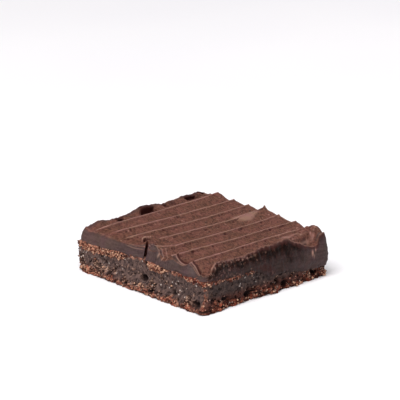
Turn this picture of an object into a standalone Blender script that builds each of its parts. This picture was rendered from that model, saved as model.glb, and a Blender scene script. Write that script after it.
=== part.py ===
"""A cut square of frosted brownie: a dense cake with a crust above and below, under combed icing.

Everything is worked out in millimetres and turned to metres as it is put in the mesh. X runs along
the furrows of the icing comb, Y across them, Z up. The origin is the middle of the flat base.
"""

import math
from collections import namedtuple

import bmesh
import bpy
from mathutils import Matrix, Vector, noise

METRES = 0.001

# Plan of the cut square
WIDTH = 72.0  # along X, from the left face to the right face
LENGTH = 82.0  # along Y, from the front face to the back face
CORNER_RADIUS = 1.8

# Heights of the layers
CAKE_HEIGHT = 14.5
CREST_HEIGHT = 20.5  # top of the combed ridges, above the base
CREST_RISE_X = 0.7  # how much higher the ridges are at the right face than at the middle
CREST_RISE_Y = 0.6  # how much higher they are at the back face
FURROW_DEPTH = 1.5
JOINT_GAP = 0.3  # between the two solids, which meet but never overlap

# Each ridge left by the comb, as the Y of its crest at the left face, the middle and the right face.
# The first and the last stand on the front and the back face.
CRESTS = (
    (-LENGTH / 2, -LENGTH / 2, -LENGTH / 2),
    (-28.2, -29.1, -29.8),
    (-16.8, -19.7, -21.8),
    (-8.4, -10.4, -11.1),
    (4.0, 0.0, -0.6),
    (14.0, 9.7, 8.4),
    (23.2, 19.5, 18.0),
    (30.4, 29.7, 28.5),
    (LENGTH / 2, LENGTH / 2, LENGTH / 2),
)
FURROW_STEPS = 8  # facets across one furrow
RUN_STEPS = 34  # facets along it
LAST_LINE = (len(CRESTS) - 1) * FURROW_STEPS

# The lap of the icing over the top edge of the cake
LIP_LAP = 0.5
LIP_INSET = 1.0  # thickness of the lip, and of the smear down the front face
SHOULDER = 9.0  # how far in the rounded edge of the icing reaches
FLAT_INSET = 6.0  # where the hidden joint between the layers becomes flat
FLAT_HEIGHT = 13.9  # height of the cake there
SMEAR_DROP = 7.4  # how far the icing was dragged down the front face
SMEAR_START, SMEAR_FULL = -10.0, 3.0
SMEAR_EARLY = 0.2  # share of it that is already there to the left of its start

CAKE_RINGS = 8
ICING_RINGS = 4
BASE_EDGE = 0.35  # how far the flat base lies inside the foot of the crust


def ease(value, low=0.0, high=1.0):
    """0 below low, 1 above high and a smooth step between them."""
    share = min(1.0, max(0.0, (value - low) / (high - low)))
    return share * share * (3.0 - 2.0 * share)


def bump(x, y, centre_x, centre_y, half_x, half_y):
    """1 at the centre, falling away smoothly over the two half widths."""
    return math.exp(-(((x - centre_x) / half_x) ** 2) - ((y - centre_y) / half_y) ** 2)


def grain(x, y, z, size, seed=0.0):
    """Smooth noise from about -1 to 1, whose lumps are size millimetres across."""
    return noise.noise(Vector((x / size + seed, y / size - seed, z / size + 2.0 * seed)))


# ---------------------------------------------------------------- plan


def crest_y(row, x):
    """Where ridge number row runs at x: a parabola through its three points, a little wavy."""
    left, middle, right = CRESTS[row]
    along = x / (WIDTH / 2)
    bend = (left + right) / 2 - middle
    wander = 0.0 if row in (0, len(CRESTS) - 1) else 0.35 * grain(x, 17.0 * row, 0.0, 14.0)
    return middle + along * (right - left) / 2 + bend * along * along + wander


def furrow_place(line):
    """The ridge that grid line number line comes after, and its share of the way to the next."""
    row = min(line // FURROW_STEPS, len(CRESTS) - 2)
    return row, line / FURROW_STEPS - row


def line_y(line, x):
    """Y at x of a grid line that runs along the furrows."""
    row, share = furrow_place(line)
    return crest_y(row, x) * (1.0 - share) + crest_y(row + 1, x) * share


def rounded(x, y):
    """The point of the full rectangle moved onto the one with rounded corners."""
    centre_x = WIDTH / 2 - CORNER_RADIUS
    centre_y = LENGTH / 2 - CORNER_RADIUS
    over_x, over_y = abs(x) - centre_x, abs(y) - centre_y
    if over_x <= 0.0 or over_y <= 0.0:
        return x, y
    shrink = max(over_x, over_y) / math.hypot(over_x, over_y)
    return (
        math.copysign(centre_x + over_x * shrink, x),
        math.copysign(centre_y + over_y * shrink, y),
    )


def outward(x, y):
    """The level direction that points straight out of the cut face at a point of the outline."""
    over_x = max(0.0, abs(x) - (WIDTH / 2 - CORNER_RADIUS))
    over_y = max(0.0, abs(y) - (LENGTH / 2 - CORNER_RADIUS))
    length = math.hypot(over_x, over_y)
    return Vector((math.copysign(over_x, x) / length, math.copysign(over_y, y) / length, 0.0))


# ---------------------------------------------------------------- cake


def cake_top(x, y):
    """Height of the cake's upper crust, which sinks at the left back and the right front corners."""
    left_back = ease(-x, 5.0, 34.0) * ease(y, 6.0, 34.0)
    right_front = ease(x, 8.0, 26.0) * ease(-y, 26.0, 40.0)
    swell = 0.3 * grain(x, y, 0.0, 9.0, 3.1) + 0.6 * bump(x, y, -36.0, 0.0, 14.0, 6.0)
    return CAKE_HEIGHT - 1.3 * left_back - 2.4 * right_front + swell


def smear(x, y):
    """Share of the full smear down the front face: 0 where the icing ends at the cake's top edge."""
    wavy = 0.84 + 0.16 * grain(x, 0.0, 0.0, 6.0, 5.3)
    share = SMEAR_EARLY * ease(x, -34.0, -22.0)
    share += (1.0 - SMEAR_EARLY) * ease(x, SMEAR_START, SMEAR_FULL)
    return share * ease(-y, LENGTH / 2 - 3.0, LENGTH / 2) * wavy


def icing_bottom(x, y):
    """Height at which the icing ends on the outside of the cake."""
    return cake_top(x, y) - LIP_LAP - SMEAR_DROP * smear(x, y)


# Open pits in the crumb: the face, the place along it, the height, half width, half height, depth
PITS = (
    ("left", -1.9, 6.1, 2.1, 1.6, 2.2),
    ("left", 23.6, 7.0, 2.3, 1.0, 1.3),
    ("left", -8.2, 2.2, 2.4, 1.2, 1.8),
    ("left", -36.8, 3.4, 2.2, 1.4, 2.0),
    ("left", -21.9, 4.6, 1.9, 1.1, 1.5),
    ("left", 8.0, 1.7, 2.0, 1.2, 1.4),
    ("left", 31.0, 2.2, 2.0, 1.1, 1.3),
    ("front", -25.0, 4.0, 3.0, 1.6, 1.5),
    ("front", -11.5, 3.2, 3.0, 1.9, 1.8),
    ("front", 5.4, 4.8, 1.6, 2.0, 1.7),
    ("front", 10.5, 2.6, 2.4, 1.6, 2.0),
    ("front", 28.5, 3.6, 3.0, 1.7, 1.8),
    ("right", -24.0, 5.0, 2.6, 1.5, 1.8),
    ("right", -3.0, 8.0, 2.0, 1.4, 1.5),
    ("right", 16.0, 3.4, 2.8, 1.4, 1.8),
    ("right", 31.0, 7.0, 2.0, 1.3, 1.4),
    ("back", -25.0, 6.5, 2.4, 1.5, 1.6),
    ("back", -6.0, 3.0, 2.8, 1.4, 1.8),
    ("back", 12.0, 7.5, 2.0, 1.6, 1.5),
    ("back", 27.0, 3.6, 2.6, 1.4, 1.7),
)
FACES = {"left": (-1, 0), "right": (1, 0), "front": (0, -1), "back": (0, 1)}


def pit_depth(x, y, z):
    """How deep the pits are cut at a point of the side."""
    direction = outward(x, y)
    total = 0.0
    for face, place, height, half_wide, half_high, depth in PITS:
        facing = direction.x * FACES[face][0] + direction.y * FACES[face][1]
        if facing > 0.6:
            along = y if FACES[face][0] else x
            total += depth * bump(along, z, place, height, half_wide, half_high)
    return total


def foot_spread(x, y, direction):
    """How far the lower crust spreads at the foot of the side: most on the left face."""
    front = 1.6 - 1.1 * ease(x, -31.0, -24.0) - 0.5 * ease(x, -14.0, -9.0) - 0.6 * ease(x, 14.0, 22.0)
    front += 1.1 * bump(x, 0.0, 4.5, 0.0, 3.0, 1.0)
    spread = 3.0 * max(0.0, -direction.x) + front * max(0.0, -direction.y)
    spread += 0.9 * max(0.0, direction.x, direction.y)
    return spread - 2.4 * bump(x, y, -36.0, 41.0, 3.5, 5.0) - 0.8 * bump(x, y, 36.0, -41.0, 4.0, 4.0)


def cake_relief(x, y, z):
    """How far the cake's side stands out of the cut plane: crust foot, crumbs and pits."""
    foot = foot_spread(x, y, outward(x, y)) * (1.0 - ease(z, 0.9, 7.0))
    waist = 1.2 * bump(x, y, -36.0, 41.0, 5.0, 8.0) * ease(z, 2.0, 5.0) * (1.0 - 0.6 * ease(z, 8.0, 12.0))
    waist -= 0.3 * bump(z, 0.0, 7.5, 0.0, 3.5, 1.0)
    crumbs = 0.55 * grain(x, y, z, 7.0) + 0.5 * grain(x, y, z, 3.2, 7.7)
    return foot + waist + 0.35 + crumbs - pit_depth(x, y, z)


# ---------------------------------------------------------------- icing


def crest_height(x, y):
    """The gently tilted and swelling surface that touches the tops of the ridges."""
    tilt = CREST_RISE_X * x / (WIDTH / 2) + CREST_RISE_Y * y / (LENGTH / 2)
    return CREST_HEIGHT + tilt + 0.3 * grain(x, y, 0.0, 18.0, 1.3)


def furrow(share):
    """The comb's scallop: 0 on the two sharp crests, -1 along the round bottom between them."""
    return abs(2.0 * share - 1.0) ** 1.7 - 1.0


# Lumps of the back rim, as their X, their height over the rim and their half width along it
RIM_LUMPS = (
    (-27.0, 1.1, 4.2),
    (-7.5, 0.5, 2.5),
    (-1.0, 2.4, 5.0),
    (7.2, 1.3, 2.8),
    (15.0, 1.0, 4.0),
    (24.0, 1.9, 5.0),
    (33.5, 1.9, 4.0),
)
RIM_HEIGHT = 18.9


def rim_height(x):
    """Height of the uneven rim of icing along the back face."""
    lumps = sum(high * bump(x, 0.0, at, 0.0, half, 1.0) for at, high, half in RIM_LUMPS)
    return RIM_HEIGHT + lumps + 0.3 * grain(x, 0.0, 0.0, 4.0, 9.1)


# Single lumps of the top, and hollows where the height is negative
Lump = namedtuple("Lump", "x y half_x half_y height")
LUMPS = (
    Lump(-29.8, 3.0, 2.0, 2.0, 2.8),  # the icing that was lifted along the crack, up to its end
    Lump(-34.0, -1.0, 3.0, 3.2, 2.0),
    Lump(-32.6, -3.6, 1.6, 1.6, 1.5),
    Lump(-36.0, -25.5, 3.5, 3.0, -0.9),  # the lowest furrow, which sags at the left face
    Lump(36.0, -2.2, 2.4, 1.4, 1.8),  # the torn peak at the right face
    Lump(35.0, 27.0, 6.0, 3.2, 0.9),  # the ends of two furrows there, which bulge
    Lump(35.0, -7.2, 6.0, 3.4, 1.0),
    Lump(36.0, -28.5, 8.0, 2.8, -1.1),  # the end of the last ridge, which sinks
    Lump(12.0, -39.0, 3.0, 4.0, 0.9),  # the front edge, just before it slopes down
    Lump(34.0, -35.0, 3.6, 4.2, 2.5),  # the knob on the right front corner
    Lump(36.5, -40.5, 2.0, 1.8, -1.4),  # where it falls away to the corner
    Lump(-25.0, 36.0, 3.5, 1.5, -0.9),  # four hollows in front of the lumps of the rim
    Lump(-2.0, 36.0, 4.5, 1.5, -1.5),
    Lump(15.0, 36.0, 3.5, 1.5, -0.8),
    Lump(28.0, 36.0, 4.0, 1.5, -1.0),
)


def icing_top(x, y, row, share):
    """Height of the icing at a point that lies share of the way from ridge row to the next one."""
    height = crest_height(x, y)
    # The furrows are shallower towards the right face. At the left back the comb set down further
    # in and left a shoulder, and in front of that the furrows sag at the left face.
    depth = FURROW_DEPTH * (1.0 + 0.12 * grain(x, 31.0 * row, 0.0, 16.0, 4.7))
    depth *= 1.0 - 0.3 * ease(x, 24.0, 35.0)
    depth += 0.5 * ease(-x, 29.0, 35.0)
    set_down = ease(-x, 26.5, 34.0) * ease(y, -2.0, 8.0)
    # Towards the right face the furrows are deepest just behind the ridge in front of them.
    lagging = share ** (1.0 - 0.5 * ease(x, -12.0, 28.0))
    height += depth * furrow(lagging) * (1.0 - set_down) - 1.9 * set_down
    # The icing is worn lower at its left back corner, and spills over the left front one.
    height -= 1.2 * ease(-x, 27.0, 35.0) * ease(y, 33.0, 40.0)
    spill = ease(-x, 27.5, 33.5) * ease(-y, 30.0, 34.5)
    height -= spill * (2.4 + 2.2 * ease(-y, 36.0, 39.0))
    # The smooth patch where a furrow was wiped shut.
    height += 1.5 * ease(x, 17.0, 22.0) * bump(x, y, 27.5, -3.6, 9.0, 2.9)
    # The front edge stands a little proud, then slopes down towards the right front corner.
    proud = 1.4 - 1.2 * bump(x, 0.0, -12.0, 0.0, 7.0, 1.0)
    height += proud * ease(-y, 34.5, 38.5) * (1.0 - ease(x, 13.0, 18.0))
    low = ease(x, 15.0, 29.0) * (1.0 - ease(x, 29.5, 33.0))
    steep = ease(x, 20.0, 27.0)
    height -= 4.8 * low * ease(-y, 30.5 + 4.0 * steep, 40.5 - 1.5 * steep)
    for lump in LUMPS:
        height += lump.height * bump(x, y, lump.x, lump.y, lump.half_x, lump.half_y)
    rim = ease(y, 36.5, 39.5)
    return height * (1.0 - rim) + rim_height(x) * rim


def icing_inset(x, y, direction):
    """How far the top edge of the icing lies inside the cut face that faces direction."""
    left = 2.2 * max(0.0, -direction.x)
    right = 0.2 * max(0.0, direction.x)
    back = 1.2 * max(0.0, direction.y)
    front = (0.5 + 2.1 * (1.0 - ease(x, 10.0, 24.0))) * max(0.0, -direction.y)
    return left + right + back + front + 0.3 * grain(x, y, 0.0, 5.0, 6.1)


def icing_relief(x, y, z):
    """How far the icing's side stands out of the cut plane, most at the right front corner."""
    swell = 1.5 * bump(x, y, 36.0, -41.0, 9.0, 12.0) * ease(z, 4.5, 10.0)
    return 0.3 + swell + 0.35 * grain(x, y, z, 8.0, 2.2) + 0.2 * grain(x, y, z, 3.5, 8.4)


# ---------------------------------------------------------------- mesh tools


def stations():
    """The outline of the plan, once round anticlockwise, with a point for each edge of the grid."""
    half_x, half_y = WIDTH / 2, LENGTH / 2
    run = [-half_x + WIDTH * i / RUN_STEPS for i in range(RUN_STEPS + 1)]
    front = [(x, -half_y) for x in run[:-1]]
    right = [(half_x, line_y(line, half_x)) for line in range(LAST_LINE)]
    back = [(x, half_y) for x in reversed(run[1:])]
    left = [(-half_x, line_y(line, -half_x)) for line in range(LAST_LINE, 0, -1)]
    return [rounded(x, y) for x, y in front + right + back + left]


def ring_at(outline, offset, height):
    """The outline moved outwards by offset(x, y) and lifted to height(x, y)."""
    ring = []
    for x, y in outline:
        moved = Vector((x, y, 0.0)) + outward(x, y) * offset(x, y)
        moved.z = height(x, y)
        ring.append(moved)
    return ring


def joint_ring(outline, height):
    """The edge of the flat part of the hidden joint: the outline drawn in evenly on all sides."""
    across, along = 1.0 - FLAT_INSET / (WIDTH / 2), 1.0 - FLAT_INSET / (LENGTH / 2)
    return [Vector((x * across, y * along, height)) for x, y in outline]


def add_points(mesh, points):
    """New vertices at points given in millimetres."""
    return [mesh.verts.new(point * METRES) for point in points]


def join_rings(mesh, first, second):
    """A band of faces between two rings of the same number of vertices."""
    for i, vertex in enumerate(first):
        following = (i + 1) % len(first)
        mesh.faces.new((vertex, first[following], second[following], second[i]))


def finish(mesh, name, material):
    """The closed mesh as an object with its material, shaded smooth up to its sharp edges."""
    bmesh.ops.recalc_face_normals(mesh, faces=mesh.faces[:])
    bmesh.ops.triangulate(mesh, faces=mesh.faces[:])
    data = bpy.data.meshes.new(name)
    mesh.to_mesh(data)
    mesh.free()
    data.materials.append(material)
    data.shade_smooth()
    data.set_sharp_from_angle(angle=math.radians(40.0))
    made = bpy.data.objects.new(name, data)
    bpy.context.scene.collection.objects.link(made)
    return made


def food_material(name, colour, roughness):
    """A plain dielectric finish; colour is linear red, green and blue."""
    material = bpy.data.materials.new(name)
    material.use_nodes = True
    shader = material.node_tree.nodes["Principled BSDF"]
    shader.inputs["Base Color"].default_value = (*colour, 1.0)
    shader.inputs["Roughness"].default_value = roughness
    shader.inputs["Metallic"].default_value = 0.0
    return material


# ---------------------------------------------------------------- the two layers


def make_cake(outline):
    """The cake: a flat base, a crumbly side, a ledge under the icing's lip and a low top."""

    def exposed(x, y):
        return icing_bottom(x, y) - JOINT_GAP

    def side_ring(share):
        def height(x, y):
            return exposed(x, y) * share

        return ring_at(outline, lambda x, y: cake_relief(x, y, height(x, y)), height)

    ledge = -LIP_INSET - JOINT_GAP
    rings = [ring_at(outline, lambda x, y: cake_relief(x, y, 0.0) - BASE_EDGE, lambda x, y: 0.0)]
    rings += [side_ring((step + 0.35) / (CAKE_RINGS + 0.35)) for step in range(CAKE_RINGS)]
    rings.append(side_ring(1.0))
    rings.append(ring_at(outline, lambda x, y: ledge - 0.2, lambda x, y: exposed(x, y) + 0.1))
    rings.append(ring_at(outline, lambda x, y: ledge, cake_top))
    rings.append(joint_ring(outline, FLAT_HEIGHT))
    return loft(rings, "cake", food_material("cake_crumb", (0.075, 0.045, 0.036), 0.85))


def loft(rings, name, material):
    """A solid whose side goes through the rings, closed by a flat face at each end."""
    mesh = bmesh.new()
    loops = [add_points(mesh, ring) for ring in rings]
    for lower, upper in zip(loops, loops[1:]):
        join_rings(mesh, lower, upper)
    mesh.faces.new(loops[0])
    mesh.faces.new(loops[-1])
    return finish(mesh, name, material)


def edge_direction(x, y):
    """The outward direction of the nearest cut face, blended round the corners."""
    pull_x = ease(abs(x), WIDTH / 2 - SHOULDER, WIDTH / 2)
    pull_y = ease(abs(y), LENGTH / 2 - SHOULDER, LENGTH / 2)
    direction = Vector((math.copysign(pull_x, x), math.copysign(pull_y, y), 0.0))
    return direction.normalized() if direction.length > 0.0 else direction


def icing_grid_point(step, line):
    """The top of the icing where grid line number line is step facets from the left face."""
    x = -WIDTH / 2 + WIDTH * step / RUN_STEPS
    x, y = rounded(x, line_y(line, x))
    point = Vector((x, y, icing_top(x, y, *furrow_place(line))))
    # The top edge lies inside the cut face, and that inset fades away over the shoulder.
    nearest = min(WIDTH / 2 - abs(x), LENGTH / 2 - abs(y))
    fade = max(0.0, 1.0 - nearest / SHOULDER) ** 2
    direction = edge_direction(x, y)
    return point - direction * icing_inset(x, y, direction) * fade


def shoulder_ring(outline, border, share):
    """The ring that lies share of the way down the rounded side, from the top edge to the lip."""
    ring = []
    for (x, y), edge in zip(outline, border):
        start, end = edge.co / METRES, Vector((x, y, icing_bottom(x, y)))
        height = start.z + (end.z - start.z) * share**1.15
        end += outward(x, y) * icing_relief(x, y, height)
        point = start.lerp(end, math.sin(share * math.pi / 2))
        point.z = height
        ring.append(point)
    return ring


def make_icing(outline):
    """The icing: a combed top, a round shoulder, a lip over the cake and a flat underside."""
    mesh = bmesh.new()
    grid = [
        add_points(mesh, [icing_grid_point(step, line) for line in range(LAST_LINE + 1)])
        for step in range(RUN_STEPS + 1)
    ]
    for near, far in zip(grid, grid[1:]):
        for line in range(LAST_LINE):
            mesh.faces.new((near[line], far[line], far[line + 1], near[line + 1]))
    border = [column[0] for column in grid[:-1]]
    border += grid[-1][:-1]
    border += [column[-1] for column in reversed(grid[1:])]
    border += reversed(grid[0][1:])

    def above_cake(x, y):
        return cake_top(x, y) + JOINT_GAP

    rings = [shoulder_ring(outline, border, (step + 1) / ICING_RINGS) for step in range(ICING_RINGS)]
    rings.append(ring_at(outline, lambda x, y: -LIP_INSET, lambda x, y: icing_bottom(x, y) + 0.1))
    rings.append(ring_at(outline, lambda x, y: -LIP_INSET, above_cake))
    rings.append(joint_ring(outline, FLAT_HEIGHT + JOINT_GAP))
    loops = [border] + [add_points(mesh, ring) for ring in rings]
    for upper, lower in zip(loops, loops[1:]):
        join_rings(mesh, upper, lower)
    mesh.faces.new(loops[-1])
    return finish(mesh, "icing", food_material("chocolate_icing", (0.12, 0.066, 0.05), 0.5))


# The crack in the left face: a thin wedge that runs in from its mouth, wider at its top
CRACK_MOUTH = (-38.5, -5.1)
CRACK_END = (-30.4, 2.5)
CRACK_MOUTH_WIDTHS = (0.9, 1.7)  # at its floor and at its top
CRACK_END_WIDTHS = (0.4, 1.0)
CRACK_FLOOR, CRACK_FLOOR_END, CRACK_ROOF = 11.8, 16.5, 26.0


def make_crack():
    """The cutter for the crack, kept out of the render."""
    mouth, end = Vector((*CRACK_MOUTH, 0.0)), Vector((*CRACK_END, 0.0))
    across = Matrix.Rotation(math.pi / 2, 3, "Z") @ (end - mouth).normalized()
    mesh = bmesh.new()
    corners = []
    for level in (0, 1):
        for place, widths, floor in (
            (mouth, CRACK_MOUTH_WIDTHS, CRACK_FLOOR),
            (end, CRACK_END_WIDTHS, CRACK_FLOOR_END),
        ):
            for side in (-0.5, 0.5):
                point = place + across * side * widths[level]
                point.z = CRACK_ROOF if level else floor
                corners.append(point)
    low_mouth_a, low_mouth_b, low_end_a, low_end_b, *high = add_points(mesh, corners)
    high_mouth_a, high_mouth_b, high_end_a, high_end_b = high
    for face in (
        (low_mouth_a, low_end_a, low_end_b, low_mouth_b),
        (high_mouth_a, high_mouth_b, high_end_b, high_end_a),
        (low_mouth_a, low_mouth_b, high_mouth_b, high_mouth_a),
        (low_end_b, low_end_a, high_end_a, high_end_b),
        (low_mouth_a, high_mouth_a, high_end_a, low_end_a),
        (low_mouth_b, low_end_b, high_end_b, high_mouth_b),
    ):
        mesh.faces.new(face)
    cutter = finish(mesh, "crack_cutter", food_material("cutter", (0.5, 0.5, 0.5), 1.0))
    cutter.hide_render = True
    cutter.display_type = "WIRE"
    return cutter


def main():
    """Builds the two layers and cuts the crack through both."""
    for old in list(bpy.data.objects):
        bpy.data.objects.remove(old)
    outline = stations()
    layers = [make_cake(outline), make_icing(outline)]
    crack = make_crack()
    for layer in layers:
        cut = layer.modifiers.new("crack", "BOOLEAN")
        cut.operation = "DIFFERENCE"
        cut.solver = "EXACT"
        cut.object = crack


main()
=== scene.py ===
"""Looks of one cut square of frosted chocolate brownie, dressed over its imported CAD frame.

Sizes are millimetres and METRES turns them into Blender's units. X runs along the furrows of the
icing comb, Y across them, Z up, and the origin is the middle of the flat base, as in the CAD.
"""

import logging
import math
from dataclasses import dataclass
from enum import Enum

import bpy
import numpy as np
from mathutils import Matrix, Vector, noise
from mathutils.kdtree import KDTree

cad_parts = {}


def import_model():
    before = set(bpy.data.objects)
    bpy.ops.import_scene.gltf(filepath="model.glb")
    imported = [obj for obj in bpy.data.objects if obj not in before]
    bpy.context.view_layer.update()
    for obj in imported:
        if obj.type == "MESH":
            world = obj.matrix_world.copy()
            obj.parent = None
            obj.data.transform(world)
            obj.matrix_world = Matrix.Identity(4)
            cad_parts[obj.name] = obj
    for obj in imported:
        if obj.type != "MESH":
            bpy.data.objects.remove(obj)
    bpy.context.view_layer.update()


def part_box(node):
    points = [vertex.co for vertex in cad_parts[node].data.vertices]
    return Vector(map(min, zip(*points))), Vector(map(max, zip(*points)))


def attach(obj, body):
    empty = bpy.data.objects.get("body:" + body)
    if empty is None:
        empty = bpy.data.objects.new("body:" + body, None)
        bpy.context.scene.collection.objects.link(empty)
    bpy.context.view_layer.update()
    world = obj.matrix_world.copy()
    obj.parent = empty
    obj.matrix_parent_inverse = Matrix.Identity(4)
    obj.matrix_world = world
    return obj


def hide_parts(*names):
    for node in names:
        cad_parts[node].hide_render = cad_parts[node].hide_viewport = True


METRES = 0.001
BODY = "root"
RING_STEP = 0.02  # how far apart the rings of an unshaped blank are, in its own units
LOG = logging.getLogger("brownie")

# The places and sRGB codes of a colour ramp's stops
Stops = tuple[tuple[float, str], ...]


# ---------------------------------------------------------------- numbers


def ease(value: float, low: float = 0.0, high: float = 1.0) -> float:
    """0 below low, 1 above high and a smooth step between them."""
    share = min(1.0, max(0.0, (value - low) / (high - low)))
    return share * share * (3.0 - 2.0 * share)


def fade(value: float, low: float, high: float) -> float:
    """1 below low, 0 above high and a smooth step between them."""
    return 1.0 - ease(value, low, high)


def bump(x: float, y: float, centre_x: float, centre_y: float, half_x: float, half_y: float) -> float:
    """1 at the centre, falling away smoothly over the two half widths."""
    return math.exp(-(((x - centre_x) / half_x) ** 2) - ((y - centre_y) / half_y) ** 2)


def hump(value: float, centre: float, half: float) -> float:
    """1 at the centre, falling away smoothly over the half width."""
    return math.exp(-(((value - centre) / half) ** 2))


def grain(x: float, y: float, z: float, size: float, seed: float = 0.0) -> float:
    """Smooth noise from about -1 to 1, whose lumps are size millimetres across."""
    return noise.noise(Vector((x / size + seed, y / size - seed, z / size + 2.0 * seed)))


def line_distance(x: float, y: float, points: tuple[tuple[float, float], ...]) -> float:
    """How far a point of the plan lies from a line through several points.

    Args:
        x, y: the point of the plan.
        points: the line's points, in order.

    Returns:
        The distance.
    """
    nearest = math.inf
    for (from_x, from_y), (to_x, to_y) in zip(points, points[1:]):
        run_x, run_y = to_x - from_x, to_y - from_y
        share = ((x - from_x) * run_x + (y - from_y) * run_y) / (run_x * run_x + run_y * run_y)
        share = min(1.0, max(0.0, share))
        nearest = min(nearest, math.hypot(x - from_x - share * run_x, y - from_y - share * run_y))
    return nearest


def sides(direction: Vector) -> tuple[float, float, float]:
    """How much a level direction points to the left, to the front, and to the two hidden faces."""
    return max(0.0, -direction.x), max(0.0, -direction.y), max(0.0, direction.x, direction.y)


def linear(code: str) -> tuple[float, float, float, float]:
    """The linear colour of an sRGB hex code.

    Args:
        code: six hex digits after a hash.

    Returns:
        Red, green, blue and an alpha of 1.
    """
    parts = [int(code[i : i + 2], 16) / 255.0 for i in (1, 3, 5)]
    red, green, blue = (p / 12.92 if p <= 0.04045 else ((p + 0.055) / 1.055) ** 2.4 for p in parts)
    return red, green, blue, 1.0


def per_metre(size: float) -> float:
    """How often a pattern whose size is in millimetres repeats in a metre."""
    return 1.0 / (size * METRES)


# ---------------------------------------------------------------- working in Blender


def read_points(piece: bpy.types.Object) -> np.ndarray:
    """The vertices of a piece as an array of rows of three.

    Args:
        piece: the mesh object.

    Returns:
        One row for each vertex.
    """
    flat = np.empty(len(piece.data.vertices) * 3)
    piece.data.vertices.foreach_get("co", flat)
    return flat.reshape(-1, 3)


def write_points(piece: bpy.types.Object, points: np.ndarray) -> None:
    """Moves the vertices of a piece to rows of an array, given in metres."""
    piece.data.vertices.foreach_set("co", points.ravel())
    piece.data.update()


def read_mark(piece: bpy.types.Object, name: str) -> np.ndarray:
    """The numbers of one mark of a piece, one for each vertex.

    Args:
        piece: the mesh object.
        name: the mark's name.

    Returns:
        One number for each vertex.
    """
    values = np.empty(len(piece.data.vertices), np.float32)
    piece.data.attributes[name].data.foreach_get("value", values)
    return values


def write_mark(piece: bpy.types.Object, name: str, values: np.ndarray) -> None:
    """Stores one number for each vertex of a piece, for its material to read."""
    mark = piece.data.attributes.new(name, "FLOAT", "POINT")
    mark.data.foreach_set("value", values.astype(np.float32))


def name_new(name: str) -> bpy.types.Object:
    """Names the primitive that was just added and returns it.

    Args:
        name: the piece's name.

    Returns:
        The piece.
    """
    piece = bpy.context.object
    piece.name = name
    piece.data.name = name
    return piece


def pick(piece: bpy.types.Object) -> None:
    """Selects one piece alone and makes it the active one.

    Args:
        piece: the mesh object.
    """
    bpy.ops.object.select_all(action="DESELECT")
    piece.select_set(True)
    bpy.context.view_layer.objects.active = piece


def open_edit(piece: bpy.types.Object, kind: str, action: str = "DESELECT") -> None:
    """Opens a piece in edit mode.

    Args:
        piece: the mesh object.
        kind: VERT, EDGE or FACE, what is going to be selected.
        action: SELECT for all of it, or DESELECT for nothing.
    """
    pick(piece)
    bpy.ops.object.mode_set(mode="EDIT")
    bpy.ops.mesh.select_mode(type=kind)
    bpy.ops.mesh.select_all(action=action)


def close_edit() -> None:
    """Leaves edit mode."""
    bpy.ops.object.mode_set(mode="OBJECT")


def face_outwards(piece: bpy.types.Object) -> None:
    """Turns all faces of a closed piece to the outside.

    Args:
        piece: the mesh object.
    """
    open_edit(piece, "FACE", "SELECT")
    bpy.ops.mesh.normals_make_consistent(inside=False)
    close_edit()


def dress(piece: bpy.types.Object, material: bpy.types.Material) -> None:
    """Shades a piece smooth and covers all of it with one material.

    Args:
        piece: the mesh object.
        material: what it is made of.
    """
    piece.data.shade_smooth()
    piece.data.materials.clear()
    piece.data.materials.append(material)
    for face in piece.data.polygons:
        face.material_index = 0


def keep_inside(piece: bpy.types.Object, node: str) -> None:
    """Holds a piece inside the box around a CAD node."""
    low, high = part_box(node)
    write_points(piece, np.clip(read_points(piece), low, high))


# ---------------------------------------------------------------- plan


class Face(Enum):
    """The four cut faces, each as its level outward direction."""

    LEFT = (-1.0, 0.0)
    RIGHT = (1.0, 0.0)
    FRONT = (0.0, -1.0)
    BACK = (0.0, 1.0)


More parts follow.
